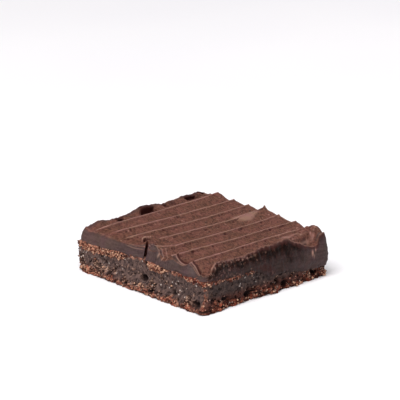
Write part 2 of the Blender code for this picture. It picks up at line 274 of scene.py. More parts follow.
@dataclass(frozen=True)
class Plan:
    """The cut rectangle and the surfaces that its two layers share."""

    width: float = 72.0
    length: float = 82.0
    corner_radius: float = 1.8
    cake_height: float = 14.5
    lip_lap: float = 0.5
    smear_drop: float = 7.4
    smear_start: float = -10.0
    smear_full: float = 3.0
    smear_early: float = 0.2
    # How far further back the faint ridges end at the left than they do in the CAD
    faint_shift: float = 3.4
    # How far inside the cut faces the joint between the layers turns level, and its two heights
    joint_inset: float = 6.0
    icing_joint: float = 14.2
    cake_joint: float = 13.9
    # The Y of each ridge's crest at the left face, the middle and the right face
    crests: tuple[tuple[float, float, float], ...] = (
        (-41.0, -41.0, -41.0),
        (-28.2, -29.1, -29.8),
        (-16.8, -19.7, -21.8),
        (-8.4, -10.4, -11.1),
        (4.0, 0.0, -0.6),
        (14.0, 9.7, 8.4),
        (23.2, 19.5, 18.0),
        (30.4, 29.7, 28.5),
        (41.0, 41.0, 41.0),
    )

    def crest_y(self, row: int, x: float) -> float:
        """Where ridge number row runs at x: a parabola through its three points, a little wavy.

        Args:
            row: the ridge's number, from the front.
            x: the place along it.

        Returns:
            Its Y.
        """
        left, middle, right = self.crests[row]
        along = x / (self.width / 2)
        bend = (left + right) / 2 - middle
        if row in (0, len(self.crests) - 1):
            return middle
        wander = 0.35 * grain(x, 17.0 * row, 0.0, 14.0)
        faint = self.faint_shift * ease(-x, 26.5, 34.0) * ease(middle, -2.0, 5.0)
        return middle + along * (right - left) / 2 + bend * along * along + wander + faint

    def gap(self, row: int, x: float) -> float:
        """How wide the furrow behind ridge number row is at x."""
        return self.crest_y(row + 1, x) - self.crest_y(row, x)

    def from_face(self, x: float, y: float) -> float:
        """How far a point of the top lies from the nearest cut face."""
        return min(self.width / 2 - abs(x), self.length / 2 - abs(y))

    def rounded(self, x: float, y: float) -> tuple[float, float]:
        """The point of the full rectangle moved onto the one with rounded corners.

        Args:
            x, y: the point of the full rectangle.

        Returns:
            The moved point.
        """
        centre_x = self.width / 2 - self.corner_radius
        centre_y = self.length / 2 - self.corner_radius
        over_x, over_y = abs(x) - centre_x, abs(y) - centre_y
        if over_x <= 0.0 or over_y <= 0.0:
            return x, y
        shrink = max(over_x, over_y) / math.hypot(over_x, over_y)
        near_x, near_y = centre_x + over_x * shrink, centre_y + over_y * shrink
        return math.copysign(near_x, x), math.copysign(near_y, y)

    def outward(self, x: float, y: float) -> Vector:
        """The level direction that points straight out of the cut face at a point of the outline.

        Args:
            x, y: the point of the outline.

        Returns:
            A direction of length 1.
        """
        over_x = max(0.0, abs(x) - (self.width / 2 - self.corner_radius))
        over_y = max(0.0, abs(y) - (self.length / 2 - self.corner_radius))
        size = math.hypot(over_x, over_y)
        return Vector((math.copysign(over_x, x) / size, math.copysign(over_y, y) / size, 0.0))

    def outline(self, way: float) -> tuple[float, float]:
        """The outline's point at a distance along it, from the left front corner, anticlockwise.

        Args:
            way: the distance.

        Returns:
            The point.
        """
        half_x, half_y = self.width / 2, self.length / 2
        way %= self.perimeter
        if way < self.width:
            return self.rounded(-half_x + way, -half_y)
        way -= self.width
        if way < self.length:
            return self.rounded(half_x, -half_y + way)
        way -= self.length
        if way < self.width:
            return self.rounded(half_x - way, half_y)
        return self.rounded(-half_x, half_y - (way - self.width))

    @property
    def perimeter(self) -> float:
        """The length of the outline before its corners are rounded."""
        return 2.0 * (self.width + self.length)

    def cake_top(self, x: float, y: float) -> float:
        """Height of the cake's upper crust, which sinks at the left back and right front corners.

        Args:
            x, y: the point of the plan.

        Returns:
            The height.
        """
        left_back = ease(-x, 5.0, 34.0) * ease(y, 6.0, 34.0)
        right_front = ease(x, 8.0, 26.0) * ease(-y, 26.0, 40.0)
        swell = 0.3 * grain(x, y, 0.0, 9.0, 3.1) + 0.6 * bump(x, y, -36.0, 0.0, 14.0, 6.0)
        return self.cake_height - 1.3 * left_back - 2.4 * right_front + swell

    def joint_point(self, x: float, y: float, height: float) -> Vector:
        """A point of the hidden joint between the layers: the outline's, drawn in evenly.

        Args:
            x, y: the point of the outline.
            height: the joint's height.

        Returns:
            The point.
        """
        across = 1.0 - 2.0 * self.joint_inset / self.width
        along = 1.0 - 2.0 * self.joint_inset / self.length
        return Vector((x * across, y * along, height))

    def smear(self, x: float, y: float) -> float:
        """Share of the full smear down the front face: 0 where the icing ends at the cake's top.

        Args:
            x, y: the point of the outline.

        Returns:
            A share from 0 to 1.
        """
        wavy = 0.84 + 0.16 * grain(x, 0.0, 0.0, 6.0, 5.3)
        share = self.smear_early * ease(x, -34.0, -22.0)
        share += (1.0 - self.smear_early) * ease(x, self.smear_start, self.smear_full)
        return share * ease(-y, self.length / 2 - 3.0, self.length / 2) * wavy

    def icing_bottom(self, x: float, y: float) -> float:
        """Height at which the icing ends on the outside of the cake."""
        return self.cake_top(x, y) - self.lip_lap - self.smear_drop * self.smear(x, y)


# ---------------------------------------------------------------- finishes


# Settings and socket numbers of nodes that are used often
SCALE_AND_ADD = {"operation": "MULTIPLY_ADD"}
OVERLAY = {"data_type": "RGBA"}
TINTING = {"data_type": "RGBA", "blend_type": "MULTIPLY"}
MIX_SHARE, MIX_FIRST, MIX_SECOND, MIX_RESULT = 0, 6, 7, 2


class Shading:
    """A material in the making: its node tree, the point's place and the marks of its piece."""

    def __init__(self, name: str, marks: tuple[str, ...] = ()) -> None:
        """Starts the material.

        Args:
            name: the material's name.
            marks: the marks of the piece that it reads.
        """
        self.material = bpy.data.materials.new(name)
        self.material.use_nodes = True
        self.tree = self.material.node_tree
        self.place = self.add_node("TexCoord").outputs["Object"]
        self.marks = {
            mark: self.add_node("Attribute", {"attribute_name": mark}).outputs["Fac"] for mark in marks
        }

    def add_node(
        self,
        kind: str,
        settings: dict[str, object] | None = None,
        sockets: dict[str | int, object] | None = None,
        stops: Stops = (),
    ) -> bpy.types.Node:
        """Adds a node with its settings, its socket values and its links.

        Args:
            kind: the node's type, without the word ShaderNode in front.
            settings: properties of the node.
            sockets: what each input gets, by its name or number, as for feed.
            stops: the stops of a colour ramp.

        Returns:
            The new node.
        """
        node = self.tree.nodes.new("ShaderNode" + kind)
        for key, value in (settings or {}).items():
            setattr(node, key, value)
        elements = node.color_ramp.elements if stops else ()
        while len(elements) < len(stops):
            elements.new(1.0)
        for element, (place, code) in zip(elements, stops):
            element.position = place
            element.color = linear(code)
        self.feed(node, sockets or {})
        return node

    def feed(self, node: bpy.types.Node, sockets: dict[str | int, object]) -> None:
        """Sets or links the inputs of a node.

        Args:
            node: the node.
            sockets: for each input, by name or number, a value, the output that feeds it, or the
                node whose first output does.
        """
        for key, value in sockets.items():
            if isinstance(value, bpy.types.Node):
                value = value.outputs[0]
            if isinstance(value, bpy.types.NodeSocket):
                self.tree.links.new(value, node.inputs[key])
            else:
                node.inputs[key].default_value = value

    def finish(self, sockets: dict[str | int, object]) -> bpy.types.Material:
        """Feeds the Principled shader and returns the material."""
        self.feed(self.tree.nodes["Principled BSDF"], sockets)
        return self.material


@dataclass(frozen=True)
class FudgeIcing:
    """Chocolate fudge frosting: cocoa, butter and sugar, drawn out by a comb and set.

    Set fudge is nearly matt, with a faint sugar grain and a dull sheen where a blade pressed it.
    The thin burrs on the comb's ridges dry paler and carry painted highlights, the film on the
    front and the hollows carry painted shade, and the face that the knife cut is cooler and
    smoother than the top.
    """

    furrow: Stops = ((0.33, "#28100a"), (0.47, "#57362c"), (0.67, "#7b5244"))
    # the cut face's cool tone, also used as painted shade in the knob's dents and on the rim's curls
    cut: Stops = ((0.38, "#342525"), (0.66, "#534241"))
    # the film on the front face, darkened as painted shade on the face turned from the light
    dragged: Stops = ((0.34, "#0a0403"), (0.52, "#190b08"), (0.74, "#40251d"))
    hue: Stops = ((0.36, "#fffbee"), (0.64, "#fff0f4"))  # browner in some places, rosier in others
    # dried burrs and edges, also used as painted highlights on crests, edges, streaks and chips
    crest: str = "#b08a7e"
    wiped: str = "#8a695e"
    # moist frosting, also used as painted shade in the hollows under the rim, the crack, tears and under
    # the front edge
    moist_and_shade: str = "#36100a"
    roughness: float = 0.58
    specular: float = 0.22
    ior: float = 1.46
    mottle_mm: float = 0.8
    mottle_across_mm: float = 1.5  # the same across the furrows, where it is drawn out
    tint_mm: float = 4.5
    sugar_mm: float = 0.45
    relief_mm: float = 0.22
    blade_mm: float = 1.2  # across the streaks that a blade leaves
    blade_run_mm: float = 8.0  # along them

    def streaks(self, made: Shading, upright: bool) -> bpy.types.Node:
        """Long thin noise for the streaks that a blade leaves.

        Args:
            made: the material.
            upright: whether the streaks stand instead of lying level.

        Returns:
            The noise node.
        """
        fine, long = per_metre(self.blade_mm), per_metre(self.blade_run_mm)
        scale = (fine, fine, long) if upright else (long, long, fine)
        stretched = made.add_node("Mapping", {}, {"Vector": made.place, "Scale": scale})
        return made.add_node(
            "TexNoise", {}, {"Vector": stretched, "Scale": 1.0, "Detail": 3.0, "Roughness": 0.6}
        )

    def material(self) -> bpy.types.Material:
        """The frosting's material, which reads the marks of CombedIcing.

        Returns:
            The material.
        """
        made = Shading("chocolate_fudge_icing", ICING_MARKS)
        add, place, marks = made.add_node, made.place, made.marks
        fine, drawn_out = per_metre(self.mottle_mm), per_metre(self.mottle_across_mm)
        spread = add("Mapping", {}, {"Vector": place, "Scale": (fine, drawn_out, fine)})
        mottle = add("TexNoise", {}, {"Vector": spread, "Scale": 1.0, "Detail": 4.0, "Roughness": 0.8})
        tint = add("TexNoise", {}, {"Vector": place, "Scale": per_metre(self.tint_mm), "Detail": 2.0})
        blend = add("Math", SCALE_AND_ADD, {0: tint, 1: 0.2, 2: -0.1})
        lively = add("Math", {"operation": "ADD"}, {0: mottle, 1: blend})
        furrow = add("ValToRGB", {}, {"Fac": lively}, self.furrow)
        # Streaks that the knife left in the cut face: level, but upright where it was drawn up
        level, upright = self.streaks(made, False), self.streaks(made, True)
        streak = add("Mix", {}, {0: marks["drawn"], 2: level, 3: upright})
        streak = add("Mix", {}, {0: 0.5, 2: streak, 3: lively})
        cut = add("ValToRGB", {}, {"Fac": streak}, self.cut)
        dragged = add("Math", SCALE_AND_ADD, {0: upright, 1: 0.5, 2: -0.25})
        dragged = add("Math", {"operation": "ADD"}, {0: dragged, 1: lively})
        dragged = add("ValToRGB", {}, {"Fac": dragged}, self.dragged)
        hue = add("ValToRGB", {}, {"Fac": tint}, self.hue)
        colour = furrow.outputs["Color"]
        # The crest layer carries painted highlights, and the cut, dragged and moist layers carry painted
        # shade as well as their own colours
        for blending, share, second in (
            (OVERLAY, marks["cut"], cut),
            (OVERLAY, marks["dragged"], dragged),
            (OVERLAY, marks["wiped"], linear(self.wiped)),
            (OVERLAY, marks["crest"], linear(self.crest)),
            (OVERLAY, marks["moist_and_shade"], linear(self.moist_and_shade)),
            (TINTING, 1.0, hue),
        ):
            layers = {MIX_SHARE: share, MIX_FIRST: colour, MIX_SECOND: second}
            colour = add("Mix", blending, layers).outputs[MIX_RESULT]
        sugar = add(
            "TexNoise", {},
            {"Vector": place, "Scale": per_metre(self.sugar_mm), "Detail": 3.0, "Roughness": 0.65},
        )
        pressed = add("Math", SCALE_AND_ADD, {0: marks["cut"], 1: -0.6, 2: 0.9})
        height = add("Math", SCALE_AND_ADD, {0: mottle, 1: 1.5, 2: sugar})
        relief = {"Height": height, "Distance": self.relief_mm * METRES, "Strength": pressed}
        # Where the knife dragged the frosting it is a little smoother, yet reflects less
        gloss, shine = (
            add("Math", SCALE_AND_ADD, {0: marks["dragged"], 1: change, 2: usual})
            for change, usual in ((-0.12, self.roughness), (-0.14, self.specular))
        )
        return made.finish({
            "Base Color": colour,
            "Normal": add("Bump", {}, relief),
            "Roughness": gloss,
            "Specular IOR Level": shine,
            "IOR": self.ior,
        })


@dataclass(frozen=True)
class BakedCrumb:
    """Dense brownie crumb between two crusts, cut with a knife.

    The crumb is dull and damp: smooth and greyish where the knife pressed it, and elsewhere torn
    to grains about a millimetre wide with dark gaps, painted as shade, and pale specks between them.
    The baked crusts are drier, open and orange-brown.
    """

    pressed: Stops = ((0.45, "#362928"), (1.0, "#69524b"))
    torn: Stops = ((0.5, "#180906"), (0.62, "#3a241f"), (0.84, "#73564a"), (1.0, "#ba9480"))
    crust: Stops = ((0.42, "#1f0b07"), (0.56, "#613528"), (0.8, "#9b6550"), (1.0, "#d8aa8c"))
    # pale specks in a few grains
    speck: str = "#c9b7ae"
    speck_share: float = 0.06  # of all grains
    rosy: str = "#f3c9c4"
    # tint of the frosting film on the front face, which also darkens it as painted shade
    smeared_and_shade: str = "#c7cacc"
    # the foot baked redder, and darker as painted shade, most of all on the front
    scorched_and_shade: str = "#dfa594"
    # painted shade in pits, pores, gaps in the crust and the crack's notch
    pit: str = "#1c0b08"
    roughness: float = 0.85
    specular: float = 0.25
    ior: float = 1.45
    grain_mm: float = 0.95
    fine_mm: float = 0.5
    ragged_mm: float = 0.9
    relief_mm: float = 0.3

    def material(self) -> bpy.types.Material:
        """The crumb's material, which reads the marks of Cake.

        Returns:
            The material.
        """
        made = Shading("baked_brownie_crumb", CAKE_MARKS)
        add, place, marks = made.add_node, made.place, made.marks
        fine = add(
            "TexNoise", {},
            {"Vector": place, "Scale": per_metre(self.fine_mm), "Detail": 3.0, "Roughness": 0.7},
        )
        # The grains are ragged: their borders are pushed about by the fine noise
        ragged = (self.ragged_mm * METRES,) * 3
        pushed = add("VectorMath", SCALE_AND_ADD, {0: fine.outputs["Color"], 1: ragged, 2: place})
        cells = add("TexVoronoi", {}, {"Vector": pushed, "Scale": per_metre(self.grain_mm)})
        tone = add("SeparateColor", {}, {"Color": cells.outputs["Color"]})
        mixed = add("Math", SCALE_AND_ADD, {0: tone, 1: 0.5, 2: fine})
        pressed, torn, crust = (
            add("ValToRGB", {}, {"Fac": mixed}, stops) for stops in (self.pressed, self.torn, self.crust)
        )
        crust = add(
            "Mix", TINTING,
            {MIX_SHARE: tone.outputs[2], MIX_FIRST: crust, MIX_SECOND: linear(self.rosy)},
        )
        # A few grains have a pale round speck
        chosen = add("Math", {"operation": "GREATER_THAN"}, {0: tone.outputs[1], 1: 1.0 - self.speck_share})
        middle = add("MapRange", {}, {"Value": cells, "From Min": 0.5, "From Max": 0.25})
        speck = add("Math", {"operation": "MULTIPLY"}, {0: chosen, 1: middle})
        # The knife left a film of frosting over the front face, darkened further as painted shade, and the
        # foot baked redder and darker, partly as painted shade
        colour = pressed.outputs["Color"]
        for blending, share, second in (
            (OVERLAY, marks["torn"], torn),
            (OVERLAY, speck, linear(self.speck)),
            (OVERLAY, marks["crust"], crust.outputs[MIX_RESULT]),
            (OVERLAY, marks["pit"], linear(self.pit)),
            (TINTING, marks["smeared_and_shade"], linear(self.smeared_and_shade)),
            (TINTING, marks["scorched_and_shade"], linear(self.scorched_and_shade)),
        ):
            layers = {MIX_SHARE: share, MIX_FIRST: colour, MIX_SECOND: second}
            colour = add("Mix", blending, layers).outputs[MIX_RESULT]
        relief = {"Height": mixed, "Distance": self.relief_mm * METRES, "Strength": 0.8}
        return made.finish({
            "Base Color": colour,
            "Normal": add("Bump", {}, relief),
            "Roughness": self.roughness,
            "Specular IOR Level": self.specular,
            "IOR": self.ior,
        })


@dataclass(frozen=True)
class LooseCrumb:
    """Crumbs that the knife pulled out, one tone for each."""

    name: str
    dark: str
    middle: str
    pale: str
    roughness: float = 0.85
    specular: float = 0.25
    fine_mm: float = 0.35
    relief_mm: float = 0.2

    def material(self) -> bpy.types.Material:
        """A dull, rough crumb whose tone is its own mark.

        Returns:
            The material.
        """
        made = Shading(self.name, ("tone",))
        add = made.add_node
        fine = add("TexNoise", {}, {"Vector": made.place, "Scale": per_metre(self.fine_mm), "Detail": 2.0})
        mixed = add("Math", SCALE_AND_ADD, {0: fine, 1: 0.5, 2: made.marks["tone"]})
        stops = ((0.25, self.dark), (0.7, self.middle), (1.15, self.pale))
        relief = {"Height": fine, "Distance": self.relief_mm * METRES, "Strength": 0.7}
        return made.finish({
            "Base Color": add("ValToRGB", {}, {"Fac": mixed}, stops),
            "Normal": add("Bump", {}, relief),
            "Roughness": self.roughness,
            "Specular IOR Level": self.specular,
        })


@dataclass(frozen=True)
class StudioPaper:
    """Smooth white paper on the studio table, with the faintest cloudiness."""

    cloudy: Stops = ((0.35, "#f5f3f6"), (0.65, "#f8f6f8"))
    cloud_mm: float = 160.0
    roughness: float = 0.6

    def material(self) -> bpy.types.Material:
        """The paper's material.

        Returns:
            The material.
        """
        made = Shading("studio_paper")
        clouds = {"Vector": made.place, "Scale": per_metre(self.cloud_mm), "Detail": 1.0}
        cloud = made.add_node("TexNoise", {}, clouds)
        colour = made.add_node("ValToRGB", {}, {"Fac": cloud}, self.cloudy)
        return made.finish({"Base Color": colour, "Roughness": self.roughness})


# ---------------------------------------------------------------- icing


@dataclass(frozen=True)
class Lump:
    """A round rise of the top, or a hollow where its height is negative."""

    x: float
    y: float
    half_x: float
    half_y: float
    height: float

    def at(self, x: float, y: float) -> float:
        """What it adds to the height at a point."""
        return self.height * bump(x, y, self.x, self.y, self.half_x, self.half_y)


@dataclass(frozen=True)
class Tear:
    """A small dark tear that the comb left in front of a ridge."""

    x: float
    row: int
    ahead: float
    half_x: float = 0.9
    half_y: float = 0.65
    depth: float = 0.35


# What the frosting's points are marked with: the dried crests with painted highlights, the cut
# face, also painted shade in dents and curls, the wiped patch, moist frosting with painted shade
# in hollows, tears and the crack, the front face, where the knife dragged frosting down over the
# crumb, darkened as painted shade, and the part of the left face where it was drawn up
ICING_MARKS = ("crest", "cut", "wiped", "moist_and_shade", "dragged", "drawn")


@dataclass
class CombedIcing:
    """The thick frosting: eight furrows between sharp ridges, a round shoulder and a lip."""

    plan: Plan
    finish: FudgeIcing
    columns: int = 164
    furrow_lines: int = 36
    rings: int = 26
    crest_height: float = 20.5
    crest_rise_x: float = 0.7
    crest_rise_y: float = 0.6
    furrow_depth: float = 1.5
    shoulder: float = 9.0
    lip_thickness: float = 1.0
    burr_height: float = 0.3
    burr_half: float = 0.34
    burr_lean: float = 0.35
    rim_height: float = 18.9
    # How far the top sinks or rises in its large forms
    set_down_drop: float = 1.9
    back_corner_drop: float = 1.2
    spill_drop: float = 2.4
    spill_drop_more: float = 2.2  # added at its very front
    wiped_rise: float = 1.5
    slope_drop: float = 4.8
    hollow_drop: float = 2.8
    curl_reach: float = 1.5  # how far the rim's curls hang forward
    rim_lumps: tuple[tuple[float, float, float], ...] = (
        (-27.0, 1.1, 4.2), (-7.5, 0.5, 2.5), (-1.0, 2.4, 5.0), (4.0, 0.6, 2.4), (7.2, 1.3, 2.8),
        (15.0, 1.0, 4.0), (24.0, 1.9, 5.0), (33.5, 1.9, 4.0),
    )
    lumps: tuple[Lump, ...] = (
        Lump(-29.8, 3.0, 2.0, 2.0, 0.8),  # the frosting that was lifted along the crack
        Lump(-34.0, -1.0, 3.0, 3.2, 2.0),
        Lump(-32.6, -3.6, 1.6, 1.6, 1.5),
        Lump(-36.0, -25.5, 3.5, 3.0, -0.9),  # the lowest furrow, which sags at the left face
        Lump(36.0, -2.2, 2.4, 1.4, 1.4),  # the torn peak at the right face and its thin tip
        Lump(36.2, -2.0, 1.6, 0.4, 1.2),
        Lump(35.0, 27.0, 6.0, 3.2, 0.9),  # the ends of two furrows there, which bulge
        Lump(35.0, -7.2, 6.0, 3.4, 1.0),
        Lump(36.0, -28.5, 8.0, 2.8, -1.1),  # the end of the last ridge, which sinks
        Lump(12.0, -39.0, 3.0, 4.0, 0.9),  # the front edge, just before it slopes down
        Lump(34.0, -35.0, 3.6, 4.2, 2.5),  # the knob on the right front corner
        Lump(36.5, -40.5, 2.0, 1.8, -1.4),  # where it falls away to the corner
        Lump(-25.0, 36.0, 3.5, 1.5, -0.9),  # four hollows in front of the lumps of the rim
        Lump(-2.0, 36.0, 4.5, 1.5, -1.5),
        Lump(15.0, 36.0, 3.5, 1.5, -0.8),
        Lump(28.0, 36.0, 4.0, 1.5, -1.0),
    )
    tears: tuple[Tear, ...] = (
        Tear(-23.0, 2, 0.8, 0.9, 0.8, 0.5), Tear(-26.8, 3, 0.8, 0.6),
        Tear(-28.0, 4, 3.2, 0.6, 0.8, 0.5), Tear(0.3, 4, 1.6, 1.0, 0.6), Tear(2.7, 3, 0.9, 0.8),
        Tear(12.3, 3, 0.8, 0.9), Tear(16.0, 4, 1.9, 0.6), Tear(0.9, 4, 3.4, 0.5, 0.6),
        Tear(-4.0, 1, 0.8, 0.7), Tear(20.0, 2, 0.8, 0.8), Tear(35.0, 4, 0.9, 0.6, 0.6, 0.5),
        Tear(-12.0, 2, 0.8, 0.6), Tear(-14.0, 5, 0.8, 0.7), Tear(7.0, 4, 2.4, 0.6),
        Tear(-17.0, 3, 0.9, 0.5), Tear(24.0, 3, 0.8, 0.7), Tear(6.5, 2, 0.8, 0.5),
        Tear(-8.0, 4, 1.4, 0.5), Tear(28.0, 2, 0.8, 0.5), Tear(-20.0, 1, 1.0, 0.6),
        Tear(9.0, 1, 1.0, 0.5), Tear(18.5, 5, 0.9, 0.5), Tear(-24.0, 6, 0.9, 0.5),
        Tear(2.0, 6, 0.9, 0.5),
    )
    # Where the burr of each ridge ends at the left
    ridge_ends: tuple[float, ...] = (-50.0, -50.0, -50.0, -24.5, -23.5, -31.5, -30.0, -34.5, -50.0)
    # Centre, half width and strength of the hollows under the curl of the back rim, painted dark as shade
    caves: tuple[tuple[float, float, float], ...] = (
        (0.4, 4.4, 1.0), (-16.0, 2.4, 0.75), (10.6, 1.6, 0.65), (15.0, 2.2, 0.5), (26.6, 4.0, 0.85),
        (34.6, 1.6, 0.8),
    )
    # The Y of pale streaks, painted highlights, down the left face, just in front of the crack
    streak_places: tuple[float, ...] = (-9.7, -12.3, -15.2)
    # The arch of frosting that was lifted around the inner end of the crack
    arch_centre: tuple[float, float] = (-28.5, 4.8)
    arch_radius: float = 2.0
    arch_half: float = 0.55
    arch_height: float = 2.3
    arch_sunk: float = 1.2
    # The crack: its two ends in plan, its floor's height at them, its top, its width at the floor and
    # what that gains upwards, and how far it leans back below a height
    crack_mouth: tuple[float, float] = (-39.5, -6.1)
    crack_end: tuple[float, float] = (-29.7, 3.1)
    crack_floor: tuple[float, float] = (11.8, 16.5)
    crack_top: float = 26.0
    crack_narrow: float = 0.9
    crack_widening: float = 1.0
    crack_lean: float = 0.18
    crack_lean_below: float = 17.0
    # Where X less Y is the same along pale streaks, painted highlights, that were drawn out beside the
    # crack
    torn_streaks: tuple[float, ...] = (-26.5, -23.9, -20.9)
    # The torn edge of the top where the lowest ridges end
    torn_edge_y: tuple[float, ...] = (14.8, 21.0, 24.9, 28.5, 31.9, 34.2, 37.4)
    torn_edge_x: tuple[float, ...] = (-29.9, -33.0, -33.4, -32.7, -33.2, -33.7, -35.4)
    # The end of the third ridge, which was torn back towards the arch
    torn_ridge: tuple[tuple[float, float], ...] = (
        (-23.1, -8.0), (-25.2, -4.8), (-28.0, -1.9), (-30.0, -0.3),
    )

    # -- the top

    def furrow(self, across: float) -> tuple[int, float]:
        """The ridge that lies before a place across the blank, and the share of the way to the next.

        The lines of the blank crowd towards the ridges, where the form is finest.

        Args:
            across: place across it, from -0.5 to 0.5.

        Returns:
            The ridge's number and the share.
        """
        count = len(self.plan.crests) - 1
        place = (across + 0.5) * count
        row = min(int(place + 1e-6), count - 1)
        share = place - row
        return row, share - 0.6 * math.sin(2.0 * math.pi * share) / (2.0 * math.pi)

    def rim(self, x: float) -> float:
        """Height of the uneven rim of icing along the back face.

        Args:
            x: the place along the back face.

        Returns:
            The height.
        """
        lumps = sum(high * hump(x, at, half) for at, high, half in self.rim_lumps)
        ragged = 0.3 * grain(x, 0.0, 0.0, 4.0, 9.1) + 0.25 * grain(x, 3.0, 0.0, 1.6, 2.7)
        return self.rim_height + lumps + ragged

    def main_height(self, x: float, y: float, row: int, share: float) -> float:
        """Height of the top at a point share of the way from ridge row to the next, as in the CAD.

        Args:
            x, y: the point of the top.
            row: the ridge before it.
            share: share of the way to the next one.

        Returns:
            The height.
        """
        half_x, half_y = self.plan.width / 2, self.plan.length / 2
        height = self.crest_height + self.crest_rise_x * x / half_x + self.crest_rise_y * y / half_y
        height += 0.3 * grain(x, y, 0.0, 18.0, 1.3)
        depth = self.furrow_depth * (1.0 + 0.12 * grain(x, 31.0 * row, 0.0, 16.0, 4.7))
        depth *= 1.0 - 0.3 * ease(x, 24.0, 35.0)
        depth += 0.5 * ease(-x, 29.0, 35.0)
        # Towards the right face the furrows are deepest just behind the ridge in front of them
        lagging = share ** (1.0 - 0.5 * ease(x, -12.0, 28.0))
        scallop = abs(2.0 * lagging - 1.0) ** 1.7 - 1.0
        set_down = self.set_down(x, y)
        height += depth * scallop * (1.0 - set_down) - self.set_down_drop * set_down
        height -= self.back_corner_drop * ease(-x, 27.0, 35.0) * ease(y, 33.0, 40.0)
        # The left front corner spills down, and the front edge stands proud beside it
        spill = ease(-x, 27.5, 33.5) * ease(-y, 30.0, 34.5)
        height -= spill * (self.spill_drop + self.spill_drop_more * ease(-y, 36.0, 39.0))
        height += self.wiped_rise * self.wiped(x, y)
        proud = 1.4 - 1.2 * hump(x, -12.0, 7.0)
        height += proud * ease(-y, 34.5, 38.5) * fade(x, 13.0, 18.0)
        # The right front corner slopes down to the knob
        low = ease(x, 15.0, 29.0) * fade(x, 29.5, 33.0)
        steep = ease(x, 20.0, 27.0)
        height -= self.slope_drop * low * ease(-y, 30.5 + 4.0 * steep, 40.5 - 1.5 * steep)
        height += sum(lump.at(x, y) for lump in self.lumps) + self.arch_height * self.arch(x, y)
        hollow = self.cave_depth(x)
        height -= self.hollow_drop * hollow * ease(y, 33.4, 35.4)
        rim = self.wall(y, hollow)
        return height * (1.0 - rim) + self.rim(x) * rim

    @staticmethod
    def wall(y: float, hollow: float) -> float:
        """Share of the back rim at y: a slope, or a steep wall where there is a hollow before it."""
        return ease(y, 36.5 + 1.9 * hollow, 39.5 - 0.3 * hollow)

    def from_arch(self, x: float, y: float) -> float:
        """How far a point of the top lies from the middle of the arch."""
        return math.hypot(x - self.arch_centre[0], y - self.arch_centre[1])

    def arch(self, x: float, y: float) -> float:
        """Share of the arch's height, a ring that is open towards the left front.

        Args:
            x, y: the point of the top.

        Returns:
            A share from 0 to 1.
        """
        from_x, from_y = x - self.arch_centre[0], y - self.arch_centre[1]
        size = self.from_arch(x, y)
        if size < 0.01:
            return 0.0
        open_way = ease((0.45 * from_x + 0.89 * from_y) / size, -0.35, 0.35)
        return hump(size, self.arch_radius, self.arch_half) * open_way

    @staticmethod
    def set_down(x: float, y: float) -> float:
        """Share of the shoulder at the left back, where the comb was set down further in."""
        return ease(-x, 26.5, 34.0) * ease(y, -2.0, 8.0)

    @staticmethod
    def wiped(x: float, y: float) -> float:
        """Share of the smooth patch where a furrow was wiped shut."""
        return ease(x, 17.0, 22.0) * bump(x, y, 27.5, -3.6, 9.0, 2.9)

    def burr(self, x: float, y: float, row: int, share: float) -> float:
        """How strong the thin burr on the nearest ridge is here, from 0 to 1.

        Args:
            x, y: the point of the top.
            row: the ridge before it.
            share: share of the way to the next one.

        Returns:
            The strength.
        """
        gap = self.plan.gap(row, x)
        strength = 0.0
        if row > 0:
            strength = hump(share * gap, 0.0, self.burr_half)
        if row < len(self.plan.crests) - 2:
            strength += hump((1.0 - share) * gap, 0.0, self.burr_half)
        nearest = row if share < 0.5 else row + 1
        ragged = 0.88 + 0.5 * grain(x, 13.0 * nearest, 0.0, 3.4, 3.3)
        gone = max(ease(self.ridge_ends[nearest] - x, -1.0, 1.0), min(1.0, 1.6 * self.wiped(x, y)))
        return min(1.0, max(0.0, strength * ragged)) * (1.0 - gone)

    def tear(self, x: float, y: float) -> float:
        """How deep the tears are at a point of the top.

        Args:
            x, y: the point of the top.

        Returns:
            The depth.
        """
        total = 0.0
        for tear in self.tears:
            if abs(x - tear.x) < 3.0 * tear.half_x:
                centre = self.plan.crest_y(tear.row, tear.x) - tear.ahead
                near = bump(x, y, tear.x, centre, tear.half_x, tear.half_y)
                total += tear.depth * ease(near + 0.25 * grain(x, y, 0.0, 0.7, 4.4), 0.25, 0.75)
        return total

    def cave_depth(self, x: float) -> float:
        """How strong the hollows in front of the back rim are at x.

        Args:
            x: the place along the rim.

        Returns:
            A share from 0 to 1.
        """
        along = sum(deep * ease(hump(x, at, half), 0.25, 0.65) for at, half, deep in self.caves)
        ragged = 0.3 * grain(x, 0.0, 0.0, 1.3, 5.7)
        return min(1.0, max(0.0, along + ragged * min(1.0, 2.0 * along)))

    def cave_shade(self, x: float, y: float) -> float:
        """Share of painted shade at a point: the floor and the wall of the hollows before the rim.

        Args:
            x, y: the point of the top.

        Returns:
            A share, at times a little over 1.
        """
        hollow = self.cave_depth(x)
        shaded = ease(y, 35.0, 36.0) * fade(y, 40.8, 41.4)
        return hollow * shaded * (1.0 + 0.4 * grain(x, y, 0.0, 1.2, 2.6))

    def fine_height(self, x: float, y: float, row: int, share: float) -> float:
        """What the comb, the sugar and the tears add to the height of the top.

        Args:
            x, y: the point of the top.
            row: the ridge before it.
            share: share of the way to the next one.

        Returns:
            The height to add.
        """
        gap = self.plan.gap(row, x)
        height = self.burr_height * self.burr(x, y, row, share)
        if row < len(self.plan.crests) - 2:
            height -= 0.14 * hump((1.0 - share) * gap, 1.5, 0.6)
        # Fine lines that the comb drew along the furrows, and the grain of the set frosting
        height += 0.07 * grain(x / 22.0, y / 0.8, 5.0 * row, 1.0, 6.6)
        height += 0.10 * grain(x, y, 0.0, 2.6, 8.8) + 0.05 * grain(x, y, 0.0, 0.9, 1.9)
